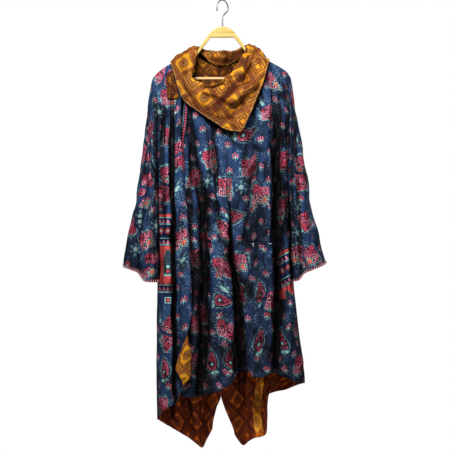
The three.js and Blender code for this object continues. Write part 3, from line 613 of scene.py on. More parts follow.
def navy_print():
    """Navy cotton with specks, sprigs, squares, round flowers, paisleys, a border and a striped edge,
    and painted shade: soft streaks and patches, and the dark of its folds.
    """
    cloth = Print("navy print", dye(42, 68, 108))
    # Painted shade: long soft dark streaks down the cloth, as its wrinkles would cast.
    cloth.paint(dye(20, 28, 46), cloth.noise(24, longer=4, detail=3).rising(0.44, 0.76))
    # Painted shade: deep in the folds the ground goes to a neutral dark.
    cloth.paint(dye(24, 20, 24), cloth.hollow)
    specks = cloth.noise(3.6, detail=0).rising(0.64, 0.7) * cloth.noise(44).rising(0.5, 0.58)
    cloth.paint(dye(156, 190, 206), specks * 0.7)
    print_sprigs(cloth)

    x, y, near = cloth.read("motif")
    kind, gap, _ = cloth.read("motif_kind")
    here = near.rising(0.01, 0.05) * gap.rising(0.16, 0.26)
    maze = (cloth.noise(8.5, detail=0) * 22).math("SINE").rising(-0.1, 0.3)
    print_square(cloth, x, y, near, kind.band(1.5, 3.5, 0.2) * here, maze)
    print_patch_flower(cloth, x - 13, y + 13, kind.band(2.5, 3.5, 0.2) * here)
    print_bloom(cloth, x, y, kind.band(3.5, 4.5, 0.2) * here)
    print_paisley(cloth, x, y, kind.band(0.5, 1.5, 0.2) * here, maze)
    print_border(cloth)

    inward, down, there = cloth.read("edge")
    there = there.rising(0.45, 0.55)
    cloth.paint(INK, inward.band(0, 16) * 0.6 * there)
    cloth.paint(TEAL, inward.band(1.5, 4.5) * there)
    cloth.paint(CRIMSON, inward.band(8, 12.5) * down.repeat(8.5).rising(2.7, 2.1) * there)
    cloth.shade(cloth.noise(2.6).rising(0.5, 0.7), 0.55, 0.55, 0.6)
    # Painted shade in broad soft patches, and darker again deep in the folds.
    cloth.shade(cloth.noise(60, longer=1.6, detail=3).rising(0.51, 0.64), 0.36, 0.3, 0.3)
    cloth.shade(cloth.hollow, 0.24, 0.2, 0.22)
    crinkle = abs(cloth.noise(34, longer=2.4, detail=2) - 0.5).rising(0.1, 0)
    return cloth.finish(cloth.noise(30, longer=3, detail=4) * 5 + crinkle * 2 + cloth.noise(1.2) * 0.06)


LATTICE_SIZE = 90
INSIDE_SIZE = 76


def mustard_print(name, gold, khaki, maroon, rosette, size=INSIDE_SIZE):
    """Mustard cotton with a lattice of diamonds in nested lines: every other one gold, round a rosette.
    Two diamonds fill a square of this size: corner is the distance from the middle of one, counted
    as |x| + |y|, and other that from the middle of the next."""
    cloth = Print(name, khaki)
    wave = cloth.noise(70) * 16
    x = (((cloth.u + wave) / size).math("FRACT") - 0.5) * size
    y = (((cloth.v + wave) / size).math("FRACT") - 0.5) * size
    far = apart(x, y)
    corner = abs(x) + abs(y)
    other = corner * -1 + size
    cloth.paint(gold, cloth.noise(34, detail=2).rising(0.45, 0.7) * 0.5)
    lines = other.repeat(size * 0.14).rising(2.3, 1.5)
    cloth.paint(maroon, lines.math("MAXIMUM", abs(corner - size * 0.5).rising(3, 2.2)))
    cloth.paint(khaki, corner.rising(size * 0.47, size * 0.455))
    cloth.paint(maroon, abs(corner - size * 0.405).rising(1.9, 1.1))
    cloth.paint(gold, corner.rising(size * 0.35, size * 0.335))
    cloth.paint(gold, other.rising(9.5, 8.5))
    cloth.paint(rosette, far.rising(16.5, 15.5))
    ring, ring_color = x.math("ARCTAN2", y), tuple(np.add(gold, khaki) / 2)
    cloth.paint(ring_color, far.band(10, 14.5) * ring.repeat(0.42).rising(0.15, 0.09))
    cloth.paint(ring_color, far.band(4.5, 8) * ring.repeat(0.785).rising(0.28, 0.18))
    cloth.paint(maroon, far.rising(2.8, 2))
    cloth.paint(maroon, cloth.noise(24, detail=3).rising(0.5, 0.85) * 0.5)
    # Painted shade in soft patches, and a warm dark deep in the folds.
    cloth.shade(cloth.noise(48, detail=3).rising(0.5, 0.68), 0.6, 0.45, 0.35)
    cloth.shade(cloth.hollow, 0.2, 0.08, 0.03)
    return cloth.finish(cloth.noise(30, longer=2, detail=4) * 2.5 + cloth.noise(1.2) * 0.06)


navy = navy_print()
mustard = mustard_print("mustard print", dye(222, 150, 24), dye(162, 112, 42), dye(116, 40, 24),
                        dye(88, 54, 40), LATTICE_SIZE)
# Inside, the lattice is a little smaller. Darker, redder copies of the print are painted shade: one
# for what lies in the shade of the robe, and one in half shade for inside the neck and the collar.
shaded_mustard = mustard_print("mustard print in the shade", dye(184, 86, 18), dye(118, 48, 14), dye(60, 15, 6),
                     dye(42, 18, 12))
half_shaded_mustard = mustard_print("mustard print inside the neck", dye(200, 128, 26), dye(136, 88, 30),
                             dye(88, 36, 18), dye(60, 38, 26))

main_lines = [fold_line(fold, MAIN_LEVELS, -1, MAIN_ROWS) for fold in MAIN_FOLDS]
main_lines.append(side_line(RIGHT_SIDE, -1, MAIN_ROWS))
MAIN_CREASES = [
    # x, drop, to x, drop, half width, height
    (-102, 430, -82, 600, 7, -5),
    (-70, 480, 20, 670, 8, 5),
    (-30, 400, -14, 620, 4, -5),
    (-30, 684, 6, 680, 5, -4),
    (85, 400, 112, 462, 6, 4),
    (122, 400, 134, 480, 6, 4),
    (100, 380, 60, 560, 9, -4),
    (24, 700, -10, 900, 7, 4),
    (60, 760, 40, 1000, 7, -4),
    (90, 600, 62, 760, 7, -4),
    (120, 700, 132, 1100, 7, 4),
    (-60, 800, -46, 1150, 8, -5),
    (-20, 860, 0, 1160, 6, 4),
    (150, 240, 138, 420, 5, 4),
    (172, 240, 176, 500, 4, -4),
    (190, 300, 192, 520, 4, 3),
    (182, 700, 205, 1000, 5, -4),
    (100, 1060, 118, 1160, 6, -3),
]
main_grid = creased(panel(main_lines, -1), MAIN_CREASES, seed=11, rumple=1)
MAIN_MIDDLE = 9 * PARTS
main_u, main_v = cloth_lengths(main_grid, MAIN_MIDDLE)
# What is printed at each place: x, drop, turn, kind (1 paisley, 2 square, 3 square with a flower,
# 4 round flower).
MAIN_MOTIFS = [
    (149, 247, 4, 3), (124, 320, 0, 4), (142, 345, 6, 2), (76, 420, 84, 1),
    (-36, 492, -6, 3), (-92, 546, 2, 2), (82, 520, 0, 2), (12, 576, -4, 3),
    (118, 602, 4, 3), (-48, 560, 0, 4), (60, 580, 0, 4), (34, 674, 82, 1),
    (-128, 748, 0, 2), (-54, 744, 0, 2), (-89, 796, 0, 3), (0, 822, 4, 2),
    (54, 808, 6, 3), (4, 888, 0, 4), (-4, 928, 80, 1), (48, 911, 0, 2),
    (-64, 970, 0, 2), (-74, 1000, 0, 2), (114, 902, 4, 1), (8, 1018, 10, 2),
    (62, 1042, 0, 2), (154, 930, 0, 2), (116, 1052, 2, 1), (177, 1052, 4, 1),
    (-36, 1118, -6, 1), (28, 1112, 0, 1), (244, 1126, 0, 2), (236, 1004, 0, 2), (8, 716, 0, 2),
    (-90, 1120, 0, 3), (184, 500, 4, 2), (196, 640, 0, 3),
]
main_front = cloth_mesh("front_main_cloth", main_grid)
# Painted shade: how deep each point lies in a fold, and listed strips where the pleat, the folds, the gap by
# the sleeve and the lower front lie in shade.
main_painted_shade = np.maximum(hollows(main_grid) * 0.8, shaded(main_grid, [
    # x, drop, to x, drop, half width, depth
    (-128, 330, -126, 620, 8, 0.75),
    (-102, 420, -96, 760, 9, 0.85),
    (-54, 600, -54, 708, 20, 0.85),
    (-66, 808, -62, 1230, 31, 0.87),
    (-46, 400, -40, 620, 5, 0.6),
    (20, 712, 20, 740, 8, 0.9),
    (20, 744, 20, 784, 17, 0.9),
    (24, 794, 42, 860, 24, 0.9),
    (50, 880, 56, 930, 24, 0.85),
    (-100, 1130, 260, 1130, 190, 0.45),
    (104, 620, 106, 736, 42, 0.6),
    (100, 780, 108, 960, 42, 0.35),
    (58, 920, 58, 1160, 19, 0.8),
    (80, 455, 118, 462, 12, 0.6),
    (132, 506, 136, 556, 9, 0.6),
    (84, 560, 92, 600, 18, 0.65),
    (76, 630, 74, 690, 16, 0.6),
    (128, 640, 136, 720, 10, 0.6),
    (60, 730, 40, 760, 10, 0.5),
    (176, 330, 178, 720, 15, 0.85),
    (163, 330, 163, 1160, 8, 0.85),
    (176, 720, 178, 1160, 7, 0.5),
    (205, 330, 214, 900, 6, 0.85),
    (-30, 392, 34, 420, 9, 0.75),
    (28, 404, 37, 436, 8, 0.75),
    (73, 754, 153, 754, 3, 0.6),
    (-16, 460, -22, 640, 5, 0.5),
    (-22, 1000, -30, 1180, 6, 0.5),
    (96, 1000, 92, 1150, 8, 0.45),
    (138, 960, 142, 1150, 6, 0.4),
    (224, 980, 232, 1150, 8, 0.45),
    (-30, 930, 36, 1000, 12, 0.35),
    (110, 980, 120, 1160, 7, 0.4),
    (90, 800, 140, 860, 10, 0.4),
]))
give(main_front, "cloth", main_u, main_v, main_painted_shade)
main_motifs = find(main_grid, main_u, main_v, MAIN_MOTIFS)
MAIN_SEED = 3
lay_print(main_front, main_u, main_v, main_motifs, MAIN_SEED)
# The border slants here, by the side seam. A striped edge goes down the top of the free edge.
BORDER_SLANT = math.radians(30)
FIRST_BAR_AT, MIDDLE_AT = (203, 772), (200, 905)
x, drop = main_grid[..., 0], main_grid[..., 2]
cos, sin = math.cos(BORDER_SLANT), math.sin(BORDER_SLANT)
along = (drop - FIRST_BAR_AT[1]) * cos + (x - FIRST_BAR_AT[0]) * sin
across = (x - MIDDLE_AT[0]) * cos - (drop - MIDDLE_AT[1]) * sin
bordered = (x > 172) & (along > -6) & (along < 128) & (drop > 700) & (drop < 925)
give(main_front, "border", across, along, bordered)
give(main_front, "edge", main_u - main_u[:, :1], main_v, (x < -100) & (drop < 560))
walled(main_front, navy, mustard)
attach(main_front, "root")
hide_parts("front_main")

# ---- The pocket ----
# A patch pocket of the same navy cotton on the right front, open at the top, with a bar tack at each
# end of its opening and one at its lower corner. The print runs on from the front.
def patch(name, grid, rows, columns, lift, belly=0):
    """A piece laid on part of a grid, out along its normals by lift + belly * (1 - across^2) *
    (1 - down)^2: most in the middle of its top. Gives the piece, its grid and what it covers."""
    cut = (slice(rows[0], rows[1] + 1), slice(columns[0], columns[1] + 1))
    across = np.linspace(-1, 1, columns[1] - columns[0] + 1)
    down = np.linspace(0, 1, rows[1] - rows[0] + 1)[:, None]
    out = lift + belly * (1 - across**2) * (1 - down) ** 2
    laid = grid[cut] + normals_of(grid)[cut] * out[..., None]
    return cloth_mesh(name, laid), laid, cut


def thread_color(name, red, green, blue):
    """Matt thread."""
    return plain(name, {"Base Color": dye(red, green, blue), "Roughness": 0.7})


def threads(name, points, radius, color, closed=False, sides=5):
    """Round threads as one piece: a ring of sides round each point, and rings joined along each row of
    points, whose shape is (threads, points, 3)."""
    along = along_rows(points, closed)
    along /= np.maximum(np.linalg.norm(along, axis=-1, keepdims=True), 1e-9)
    aside = np.cross(along, np.where(np.abs(along[..., 1:2]) < 0.9, (0.0, 1.0, 0.0), (1.0, 0.0, 0.0)))
    aside /= np.linalg.norm(aside, axis=-1, keepdims=True)
    third = np.cross(along, aside)
    turn = np.arange(sides) / sides * 2 * np.pi
    rings = points[:, :, None] + radius * (aside[:, :, None] * np.cos(turn)[:, None]
                                           + third[:, :, None] * np.sin(turn)[:, None])
    many, long = points.shape[:2]
    number = np.arange(many * long * sides).reshape(many, long, sides)
    here, after = (number, np.roll(number, -1, axis=1)) if closed else (number[:, :-1], number[:, 1:])
    quads = np.stack([here, np.roll(here, -1, axis=2), np.roll(after, -1, axis=2), after], axis=-1)
    faces = quads.reshape(-1, 4).tolist()
    if not closed:
        faces += number[:, 0, :].tolist() + number[:, -1, ::-1].tolist()
    piece = new_piece(name, rings, faces)
    piece.data.materials.append(color)
    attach(piece, "root")


def lengths_along(row):
    """The length along a row of points, at each of them."""
    return np.concatenate([[0], np.cumsum(np.linalg.norm(np.diff(row, axis=0), axis=1))])


def at_lengths(at, run, values):
    """The values, given at each length of run, at other lengths."""
    return np.stack([np.interp(at, run, values[:, i]) for i in range(3)], axis=-1)


STITCH, STITCH_PITCH = 3, 5
HEM_ROW, HEM_THREAD = -4, 0.4


def stitch_row(grid, row_at, ends, outward=1, lift=1.1):
    """Points of running stitches along a row of the grid, from one share of its length to another: each
    dips into the cloth at both ends. outward is -1 on a grid whose normals point in."""
    row, face = grid[row_at], normals_of(grid)[row_at] * outward
    run = lengths_along(row)
    starts = np.arange(run[-1] * ends[0], run[-1] * ends[1] - STITCH, STITCH_PITCH)
    at = starts[:, None] + STITCH * np.array([0, 0.25, 0.5, 0.75, 1])
    lifts = np.array([-0.6, 0.75, 1, 0.75, -0.6])[None, :, None] * 0.35 + lift
    return at_lengths(at, run, row) + at_lengths(at, run, face) * lifts


PATCH_WALL = 1.2
POCKET_ROWS, POCKET_COLUMNS = (120, 156), (86, 121)
pocket, pocket_grid, covered = patch("pocket_cloth", main_grid, POCKET_ROWS, POCKET_COLUMNS, lift=2.6,
                                     belly=3)
u, v = main_u[covered], main_v[covered]
# The pocket carries the painted shade of the front under it.
give(pocket, "cloth", u, v, main_painted_shade[covered])
lay(pocket, "motif", u, v, main_motifs)
lay(pocket, "sprig", u, v, sprigs(main_u, main_v, main_motifs, MAIN_SEED))
walled(pocket, navy, mustard, PATCH_WALL)
white_thread = thread_color("white thread", 226, 228, 226)
# The bar tacks: a short one and a long one, crossed, at each end of the opening, and one lower down.
tacks = []
share = np.linspace(-1, 1, 5)
for x, drop, half_long, half_wide in ((95, 753, 0, 5), (95, 757, 4, 0), (146, 753, 0, 5), (146, 757, 4, 0),
                                      (143, 922, 0, 5)):
    away = np.hypot(pocket_grid[..., 0] - x, pocket_grid[..., 2] - drop)
    y = pocket_grid[np.unravel_index(np.argmin(away), away.shape)][1] - 1.4
    tacks.append(np.stack([x + share * half_wide, y - 0.5 * (1 - share**2), drop + share * half_long],
                          axis=-1))
threads("pocket_bar_tacks", np.stack(tacks), radius=0.8, color=white_thread)
blue_thread = thread_color("blue thread", 70, 88, 122)
pocket_rows = [stitch_row(pocket_grid, row_at, ends=(0.04, 0.96), lift=0.9) for row_at in (3, -3)]
threads("pocket_stitches", np.concatenate(pocket_rows), radius=0.35, color=blue_thread)
threads("main_hem_stitches", stitch_row(main_grid, HEM_ROW, ends=(0.01, 0.99)), HEM_THREAD, blue_thread)
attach(pocket, "root")
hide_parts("pocket")

# ---- The side front ----
# The narrower front panel under the main one. Its lower corner is turned back, so that the mustard
# side shows, and its top carries the collar stand.
SIDE_LEVELS = (253, 403, 553, 753, 953, 1023, 1103, 1153)
SIDE_FOLDS = [
    ("side hollow", (-206, None), (-208, -208, -200, -194, -194, -194, -194, -194),
     (-34, -42, -24, -24, -32, -34, -36, -36), (-192, 1281)),
    ("outer ridge", (-196, None), (-199, -199, -191, -184, -184, -184, -184, -184),
     (-38, -48, -34, -42, -50, -52, -54, -56), (-180, 1267)),
    ("hollow under the gathers", (-184, None), (-184, -181, -180, -175, -174, -174, -172, -169),
     (-38, -34, -46, -56, -60, -62, -64, -66), (-167, 1257)),
    ("ridge of the outer column", (-170, None), (-172, -168, -169, -164, -161, -160, -158, -157),
     (-40, -48, -56, -62, -68, -70, -72, -74), (-157, 1252)),
    ("deep trough", (-152, None), (-160, -158, -158, -152, -148, -148, -147, -147),
     (-40, -32, -28, -24, -30, -34, -38, -42), (-147, 1248)),
    ("ridge of the inner column", (-128, None), (-147, -144, -143, -138, -136, -138, -140, -140),
     (-42, -53, -58, -64, -66, -64, -62, -60), (-135, 1226)),
    ("inner column", (-100, None), (-138, -135, -130, -119, -113, -119, -119, -119),
     (-44, -53, -60, -70, -74, -74, -72, -70), (-126, 1205)),
    ("fold of the turned corner", (-86, None), (-132, -131, -122, -108, -101, -109, -97, -98),
     (-45, -52, -58, -70, -76, -76, -76, -74), (-121, 1193)),
    ("turned corner", (-91, 163), (-130, -129, -120, -105, -98, -108, -113, -117),
     (-45, -51, -57, -69, -75, -79, -88, -84), (-129, 1168)),
    ("free edge", (-93, 175), (-128, -128, -118, -102, -95, -107, -136, -144),
     (-45, -50, -56, -67, -73, -81, -86, -80), (-144, 1142)),
]
SIDE_ROWS = {"upper": 2, "from": 306, "to": 1106, "level": 21, "lower": 3}
side_lines = [side_line(LEFT_SIDE, -1, SIDE_ROWS)]
side_lines += [fold_line(fold, SIDE_LEVELS, -1, SIDE_ROWS) for fold in SIDE_FOLDS]
SIDE_CREASES = [
    (-178, 300, -184, 460, 4, -5),
    (-166, 280, -172, 520, 4, 4),
    (-150, 300, -158, 640, 4, -4),
    (-140, 320, -142, 600, 3, 3),
    (-172, 560, -166, 900, 5, 3),
    (-186, 620, -190, 1100, 5, -3),
    (-170, 980, -176, 1200, 6, 3),
    (-120, 640, -128, 900, 5, -3),
    (-118, 900, -134, 1130, 5, 3),
]
side_grid = creased(panel(side_lines, -1), SIDE_CREASES, seed=21)
SIDE_MIDDLE = 4 * PARTS
side_u, side_v = cloth_lengths(side_grid, SIDE_MIDDLE)
SIDE_MOTIFS = [
    (-194, 230, -8, 2), (-170, 236, 0, 2), (-197, 345, 0, 4), (-160, 300, 0, 3),
    (-172, 420, 0, 3), (-143, 500, 0, 2), (-176, 540, 0, 3), (-146, 585, 0, 4),
    (-186, 600, 0, 2), (-146, 470, 0, 2), (-128, 740, 0, 3), (-126, 800, 0, 4),
    (-168, 1012, 45, 3), (-176, 1050, 45, 2), (-184, 1140, -6, 1), (-190, 1256, 0, 2),
    (-196, 990, 0, 4),
]
side_front = cloth_mesh("front_side_cloth", side_grid)
# Painted shade: the folds, and listed strips in the gathers, the gap by the sleeve and low down.
give(side_front, "cloth", side_u, side_v, np.maximum(hollows(side_grid) * 0.6, shaded(side_grid, [
    (-188, 330, -184, 620, 9, 0.7),
    (-151, 300, -151, 1200, 4, 0.85),
    (-176, 306, -180, 440, 2.5, 0.7),
    (-167, 306, -169, 400, 2, 0.7),
    (-159, 306, -160, 430, 2.5, 0.8),
    (-143, 310, -143, 400, 2, 0.7),
    (-128, 640, -140, 760, 5, 0.4),
    (-200, 1180, -120, 1180, 170, 0.22),
    (-184, 640, -184, 900, 3, 0.4),
    (-206, 320, -202, 870, 7, 0.85),
    (-118, 640, -132, 1000, 6, 0.4),
])))
# The border goes straight down the outer column, its middle at x = -168 and its first bar at 666.
side_motifs = find(side_grid, side_u, side_v, SIDE_MOTIFS)
bare = find(side_grid, side_u, side_v, [(-172, bare_drop, 0, 1) for bare_drop in range(680, 940, 30)])
lay_print(side_front, side_u, side_v, side_motifs, seed=5, bare=bare)
x, drop = side_grid[..., 0], side_grid[..., 2]
give(side_front, "border", x + 168, drop - 666, (x < -151) & (drop > 660) & (drop < 940))
walled(side_front, navy, mustard)
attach(side_front, "root")
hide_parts("front_side")
threads("side_hem_stitches", stitch_row(side_grid, HEM_ROW, ends=(0.02, 0.98)), HEM_THREAD, blue_thread)

# ---- The collar stand ----
# A gathered mustard strip sewn over the top of the side front, below the collar. Its gathers are
# waves 10 mm apart that sway down the strip.
STAND_ROWS, STAND_COLUMNS = (12, 39), (36, 67)
GATHER_PITCH, GATHER_HEIGHT = 10, 1.3
gathers = np.sin(side_u * 2 * np.pi / GATHER_PITCH + np.sin(side_v / 40) * 2)
gathered = side_grid + normals_of(side_grid) * GATHER_HEIGHT * gathers[..., None]
stand, _, covered = patch("collar_stand_cloth", gathered, STAND_ROWS, STAND_COLUMNS, lift=3.4)
# Painted shade over the whole strip, going up and down with the gathers.
give(stand, "cloth", side_u[covered], side_v[covered], 0.4 + 0.3 * gathers[covered])
walled(stand, half_shaded_mustard, half_shaded_mustard, PATCH_WALL)
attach(stand, "root")
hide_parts("collar_stand")

# ---- The backs ----
# Two back panels with a seam down the middle that ends in a slit, so that the two points of the
# hem hang apart. What shows from the front is their mustard inside.
BACK_LEVELS = (253, 403, 653, 903, 1153, 1226, 1270, 1333)
BACK_ROWS = {"upper": 1, "from": 330, "to": 1150, "level": 13, "lower": 4}
BACK_LEFT_FOLDS = [
    ("side hollow", (-206, None), (-209, -209, -194, -191, -194, -193, -191, -188),
     (34, 43, 28, 34, 44, 44, 44, 44), (-184, 1311)),
    ("outer ridge", (-188, None), (-191, -188, -175, -169, -169, -166, -163, -160),
     (38, 50, 46, 54, 60, 60, 60, 58), (-160, 1326)),
    ("trough", (-164, None), (-166, -163, -150, -144, -141, -139, -138, -135),
     (38, 42, 34, 36, 40, 42, 44, 46), (-135, 1340)),
    ("shoulder blade ridge", (-136, None), (-138, -132, -119, -113, -110, -108, -107, -104),
     (40, 52, 54, 60, 66, 66, 66, 64), (-104, 1360)),
    ("soft trough", (-82, None), (-103, -101, -91, -88, -85, -83, -82, -79),
     (40, 46, 42, 46, 50, 52, 54, 56), (-79, 1379)),
    ("tail ridge", (-78, 172), (-72, -66, -57, -54, -54, -56, -58, -62),
     (40, 52, 56, 62, 68, 69, 70, 68), (-64, 1390)),
    ("tail trough", (-38, 194), (-36, -34, -29, -26, -29, -34, -39, -46),
     (40, 50, 50, 54, 56, 57, 58, 60), (-50, 1366)),
    ("centre seam and slit", (-5, 205), (-5, -5, -5, -5, -5, -5, -20, -31),
     (40, 50, 56, 60, 62, 62, 62, 62), (-31, 1330)),
]
BACK_RIGHT_FOLDS = [
    ("centre seam and slit", (-4.7, 205), (-4.7, -4.7, -4.7, -4.7, -4.7, -4.7, 8, 31),
     (40, 50, 56, 60, 62, 62, 62, 62), (37, 1347)),
    ("tail trough", (30, 196), (24, 22, 23, 26, 29, 32, 38, 50),
     (40, 49, 50, 52, 54, 55, 56, 58), (64, 1382)),
    ("tail ridge", (77, 173), (58, 50, 51, 54, 57, 60, 66, 76),
     (40, 52, 58, 64, 70, 71, 72, 70), (82, 1370)),
    ("trough", (82, None), (84, 81, 79, 82, 82, 83, 86, 91), (40, 44, 42, 44, 48, 50, 52, 54), (101, 1359)),
    ("shoulder blade ridge", (106, None), (106, 104, 107, 110, 110, 110, 110, 113),
     (40, 52, 54, 60, 62, 61, 60, 58), (122, 1355)),
    ("turned edge of the tail", (128, None), (127, 126, 129, 132, 133, 133, 132, 133),
     (40, 46, 46, 48, 44, 42, 40, 38), (137, 1340)),
    ("back of the turned edge", (141, None), (141, 141, 141, 142, 141, 141, 141, 141),
     (40, 42, 44, 48, 54, 56, 56, 56), (141, 1228)),
    ("hip ridge", (160, None), (160, 160, 166, 169, 172, 172, 172, 172),
     (38, 50, 56, 60, 64, 64, 64, 64), (166, 1215)),
    ("hip trough", (178, None), (177, 177, 181, 191, 200, 200, 200, 200),
     (37, 46, 44, 46, 52, 52, 52, 52), (194, 1209)),
    ("side hollow", (200, None), (202, 200, 198, 212, 232, 236, 236, 236),
     (34, 42, 28, 32, 36, 36, 36, 36), (232, 1193)),
]
left_lines = [side_line(LEFT_SIDE, 1, BACK_ROWS)]
left_lines += [fold_line(fold, BACK_LEVELS, 1, BACK_ROWS) for fold in BACK_LEFT_FOLDS]
right_lines = [fold_line(fold, BACK_LEVELS, 1, BACK_ROWS) for fold in BACK_RIGHT_FOLDS]
right_lines.append(side_line(RIGHT_SIDE, 1, BACK_ROWS))
BACK_CREASES = {
    "left": [(-150, 400, -120, 1000, 8, 5), (-60, 300, -70, 900, 8, -5), (-100, 700, -60, 1300, 7, 5),
             (-130, 1180, -90, 1350, 8, -5), (-60, 1150, -50, 1330, 6, 4), (-30, 500, -20, 1100, 6, -4)],
    "right": [(60, 300, 90, 800, 8, 5), (150, 400, 120, 1000, 8, -5), (40, 700, 30, 1200, 7, 5),
              (80, 1180, 90, 1350, 7, -5), (120, 1150, 128, 1330, 5, 5), (180, 700, 210, 1100, 6, 4)],
}
# A lit copy of the inside print, for painted light.
lit_mustard = mustard_print("mustard print in the light", dye(255, 186, 46), dye(244, 152, 44),
                            dye(172, 76, 30), dye(150, 90, 50))
BACK_MOTIF_PITCH = (88, 118)
# Painted light and shade inside: the neck, down to NECK_BOTTOM, has the copy of the print in half shade,
# lighter than the rest, and a band low on the right tail, which sways about an x of its own, has the lit
# copy.
NECK_BOTTOM = 300
LIT_BAND = {"x": 112, "half width": 13, "top": 1120}
for side, lines in (("left", left_lines), ("right", right_lines)):
    grid = creased(panel(lines, 1), BACK_CREASES[side], seed=31)
    u, v = cloth_lengths(grid, grid.shape[1] // 2)
    back = cloth_mesh(f"back_{side}_cloth", grid, inside_out=True)
    # Painted shade inside the neck, deeper on the right, and low on the tails.
    give(back, "cloth", u, v, shaded(grid, [
        (-80, 236, 84, 236, 16, 0.5),
        (10, 214, 90, 226, 30, 0.85),
        (-104, 1130, 50, 1150, 40, 0.3),
    ]))
    draw = np.random.default_rng(len(side))
    motifs = [(at_u + draw.normal(0, 14), at_v + draw.normal(0, 14), draw.normal(0, 5), draw.integers(1, 5))
              for at_v in np.arange(v.min() + 60, v.max(), BACK_MOTIF_PITCH[1])
              for at_u in np.arange(u.min() + 30, u.max(), BACK_MOTIF_PITCH[0])]
    lay_print(back, u, v, motifs, seed=7)
    walled(back, navy, shaded_mustard)
    for stuff in (navy, half_shaded_mustard, navy, lit_mustard):
        back.data.materials.append(stuff)
    x, _, drop = np.moveaxis((grid[:-1, :-1] + grid[1:, 1:]) / 2, -1, 0)
    off = np.abs(x - LIT_BAND["x"] - 4 * np.sin(drop / 30))
    lit = (off < LIT_BAND["half width"]) & (drop > LIT_BAND["top"])
    pairs = np.where(drop < NECK_BOTTOM, 2, np.where(lit, 4, 0))
    back.data.polygons.foreach_set("material_index", pairs.ravel())
    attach(back, "root")
    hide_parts(f"back_{side}")

# ---- The sleeves ----
# Full length flared sleeves, sewn into the armholes and open at the cuff, each with one long fold
# front and back that splits the cuff into an outer and an inner lobe.
SLEEVES = {
    # side seam, how far inward the long fold is, and rings down the sleeve
    "left": (LEFT_SIDE, 0.54, [
        # outer (x, drop), inner (x, drop), depth, front fold, back fold, lobes
        ((-228, 323), (-211, 519), 94, 0.05, 0.05, 0),
        ((-241, 415), (-210, 530), 100, 0.1, 0.1, 0.1),
        ((-250, 494), (-208.5, 551), 106, 0.2, 0.15, 0.3),
        ((-257, 561), (-207, 585), 108, 0.26, 0.2, 0.42),
        ((-266, 611), (-206.4, 625), 110, 0.28, 0.24, 0.46),
        ((-279, 659), (-205.4, 677), 112, 0.32, 0.26, 0.54),
        ((-290, 711), (-204.5, 737), 116, 0.38, 0.3, 0.66),
        ((-300, 765), (-204.2, 799), 122, 0.44, 0.34, 0.78),
        ((-308, 824), (-204.6, 871), 130, 0.5, 0.36, 0.9),
    ]),
    "right": (RIGHT_SIDE, 0.78, [
        ((225, 323), (209.4, 519), 94, 0.05, 0.05, 0),
        ((240, 415), (209.8, 530), 100, 0.1, 0.1, 0.1),
        ((251, 494), (210.4, 551), 106, 0.2, 0.15, 0.3),
        ((265, 559), (211.6, 585), 108, 0.26, 0.2, 0.42),
        ((271, 613), (212.8, 625), 110, 0.28, 0.24, 0.46),
        ((279, 661), (214.6, 677), 112, 0.32, 0.26, 0.54),
        ((291, 713), (216.6, 737), 116, 0.38, 0.3, 0.66),
        ((304, 765), (219.1, 799), 122, 0.42, 0.34, 0.74),
        ((318, 816), (222.2, 869), 130, 0.46, 0.36, 0.82),
    ]),
}
SLEEVE_COLUMNS, SLEEVE_ROWS = 144, 140
FOLD_WIDTH, STEP_WIDTH = 0.17, 0.04
OUTER_FALL = 0.68
LEAN = 8
SLEEVE_CREASES = {
    "left": [(-222, 300, -238, 560, 5, -4), (-228, 420, -262, 800, 6, 4), (-214, 520, -222, 840, 5, -3),
             (-262, 600, -296, 810, 6, -3), (-240, 560, -236, 800, 6, 3)],
    "right": [(222, 300, 236, 540, 5, 4), (240, 440, 262, 800, 6, -4), (216, 520, 230, 840, 5, 3),
              (262, 580, 304, 800, 6, 3), (246, 540, 250, 800, 5, -3)],
}
# Painted shade in strips: by the body, in the long folds and over the left sleeve's outer lobe.
SLEEVE_SHADES = {
    "left": [(-212, 520, -209, 880, 6, 0.8), (-226, 330, -238, 520, 6, 0.6), (-270, 660, -284, 830, 24, 0.55),
             (-264, 740, -254, 840, 4, 0.8), (-222, 600, -226, 840, 5, 0.4)],
    "right": [(213, 520, 221, 880, 6, 0.8), (222, 360, 236, 640, 7, 0.75), (238, 640, 243, 850, 5, 0.9),
              (216, 280, 222, 460, 6, 0.6), (228, 640, 231, 870, 9, 0.5)],
}
SLEEVE_MOTIFS = {
    "left": [(-246, 476, -16, 2), (-238, 510, 0, 4), (-247, 606, -16, 2), (-250, 672, -16, 4),
             (-246, 744, -18, 3), (-224, 828, -8, 3), (-228, 560, -8, 2), (-290, 700, -20, 2),
             (-226, 400, 0, 2)],
    "right": [(224, 300, 8, 2), (234, 430, 10, 4), (244, 506, 14, 3), (228, 640, 8, 4),
              (262, 684, 18, 2), (276, 790, 20, 3), (230, 780, 6, 3), (228, 720, 6, 4),
              (240, 560, 8, 2)],
}
SLEEVE_MOTIF_PITCH = (70, 100)
BLANKET_STITCH, BLANKET_PITCH = 7, 8
red_thread = thread_color("red thread", 186, 40, 48)


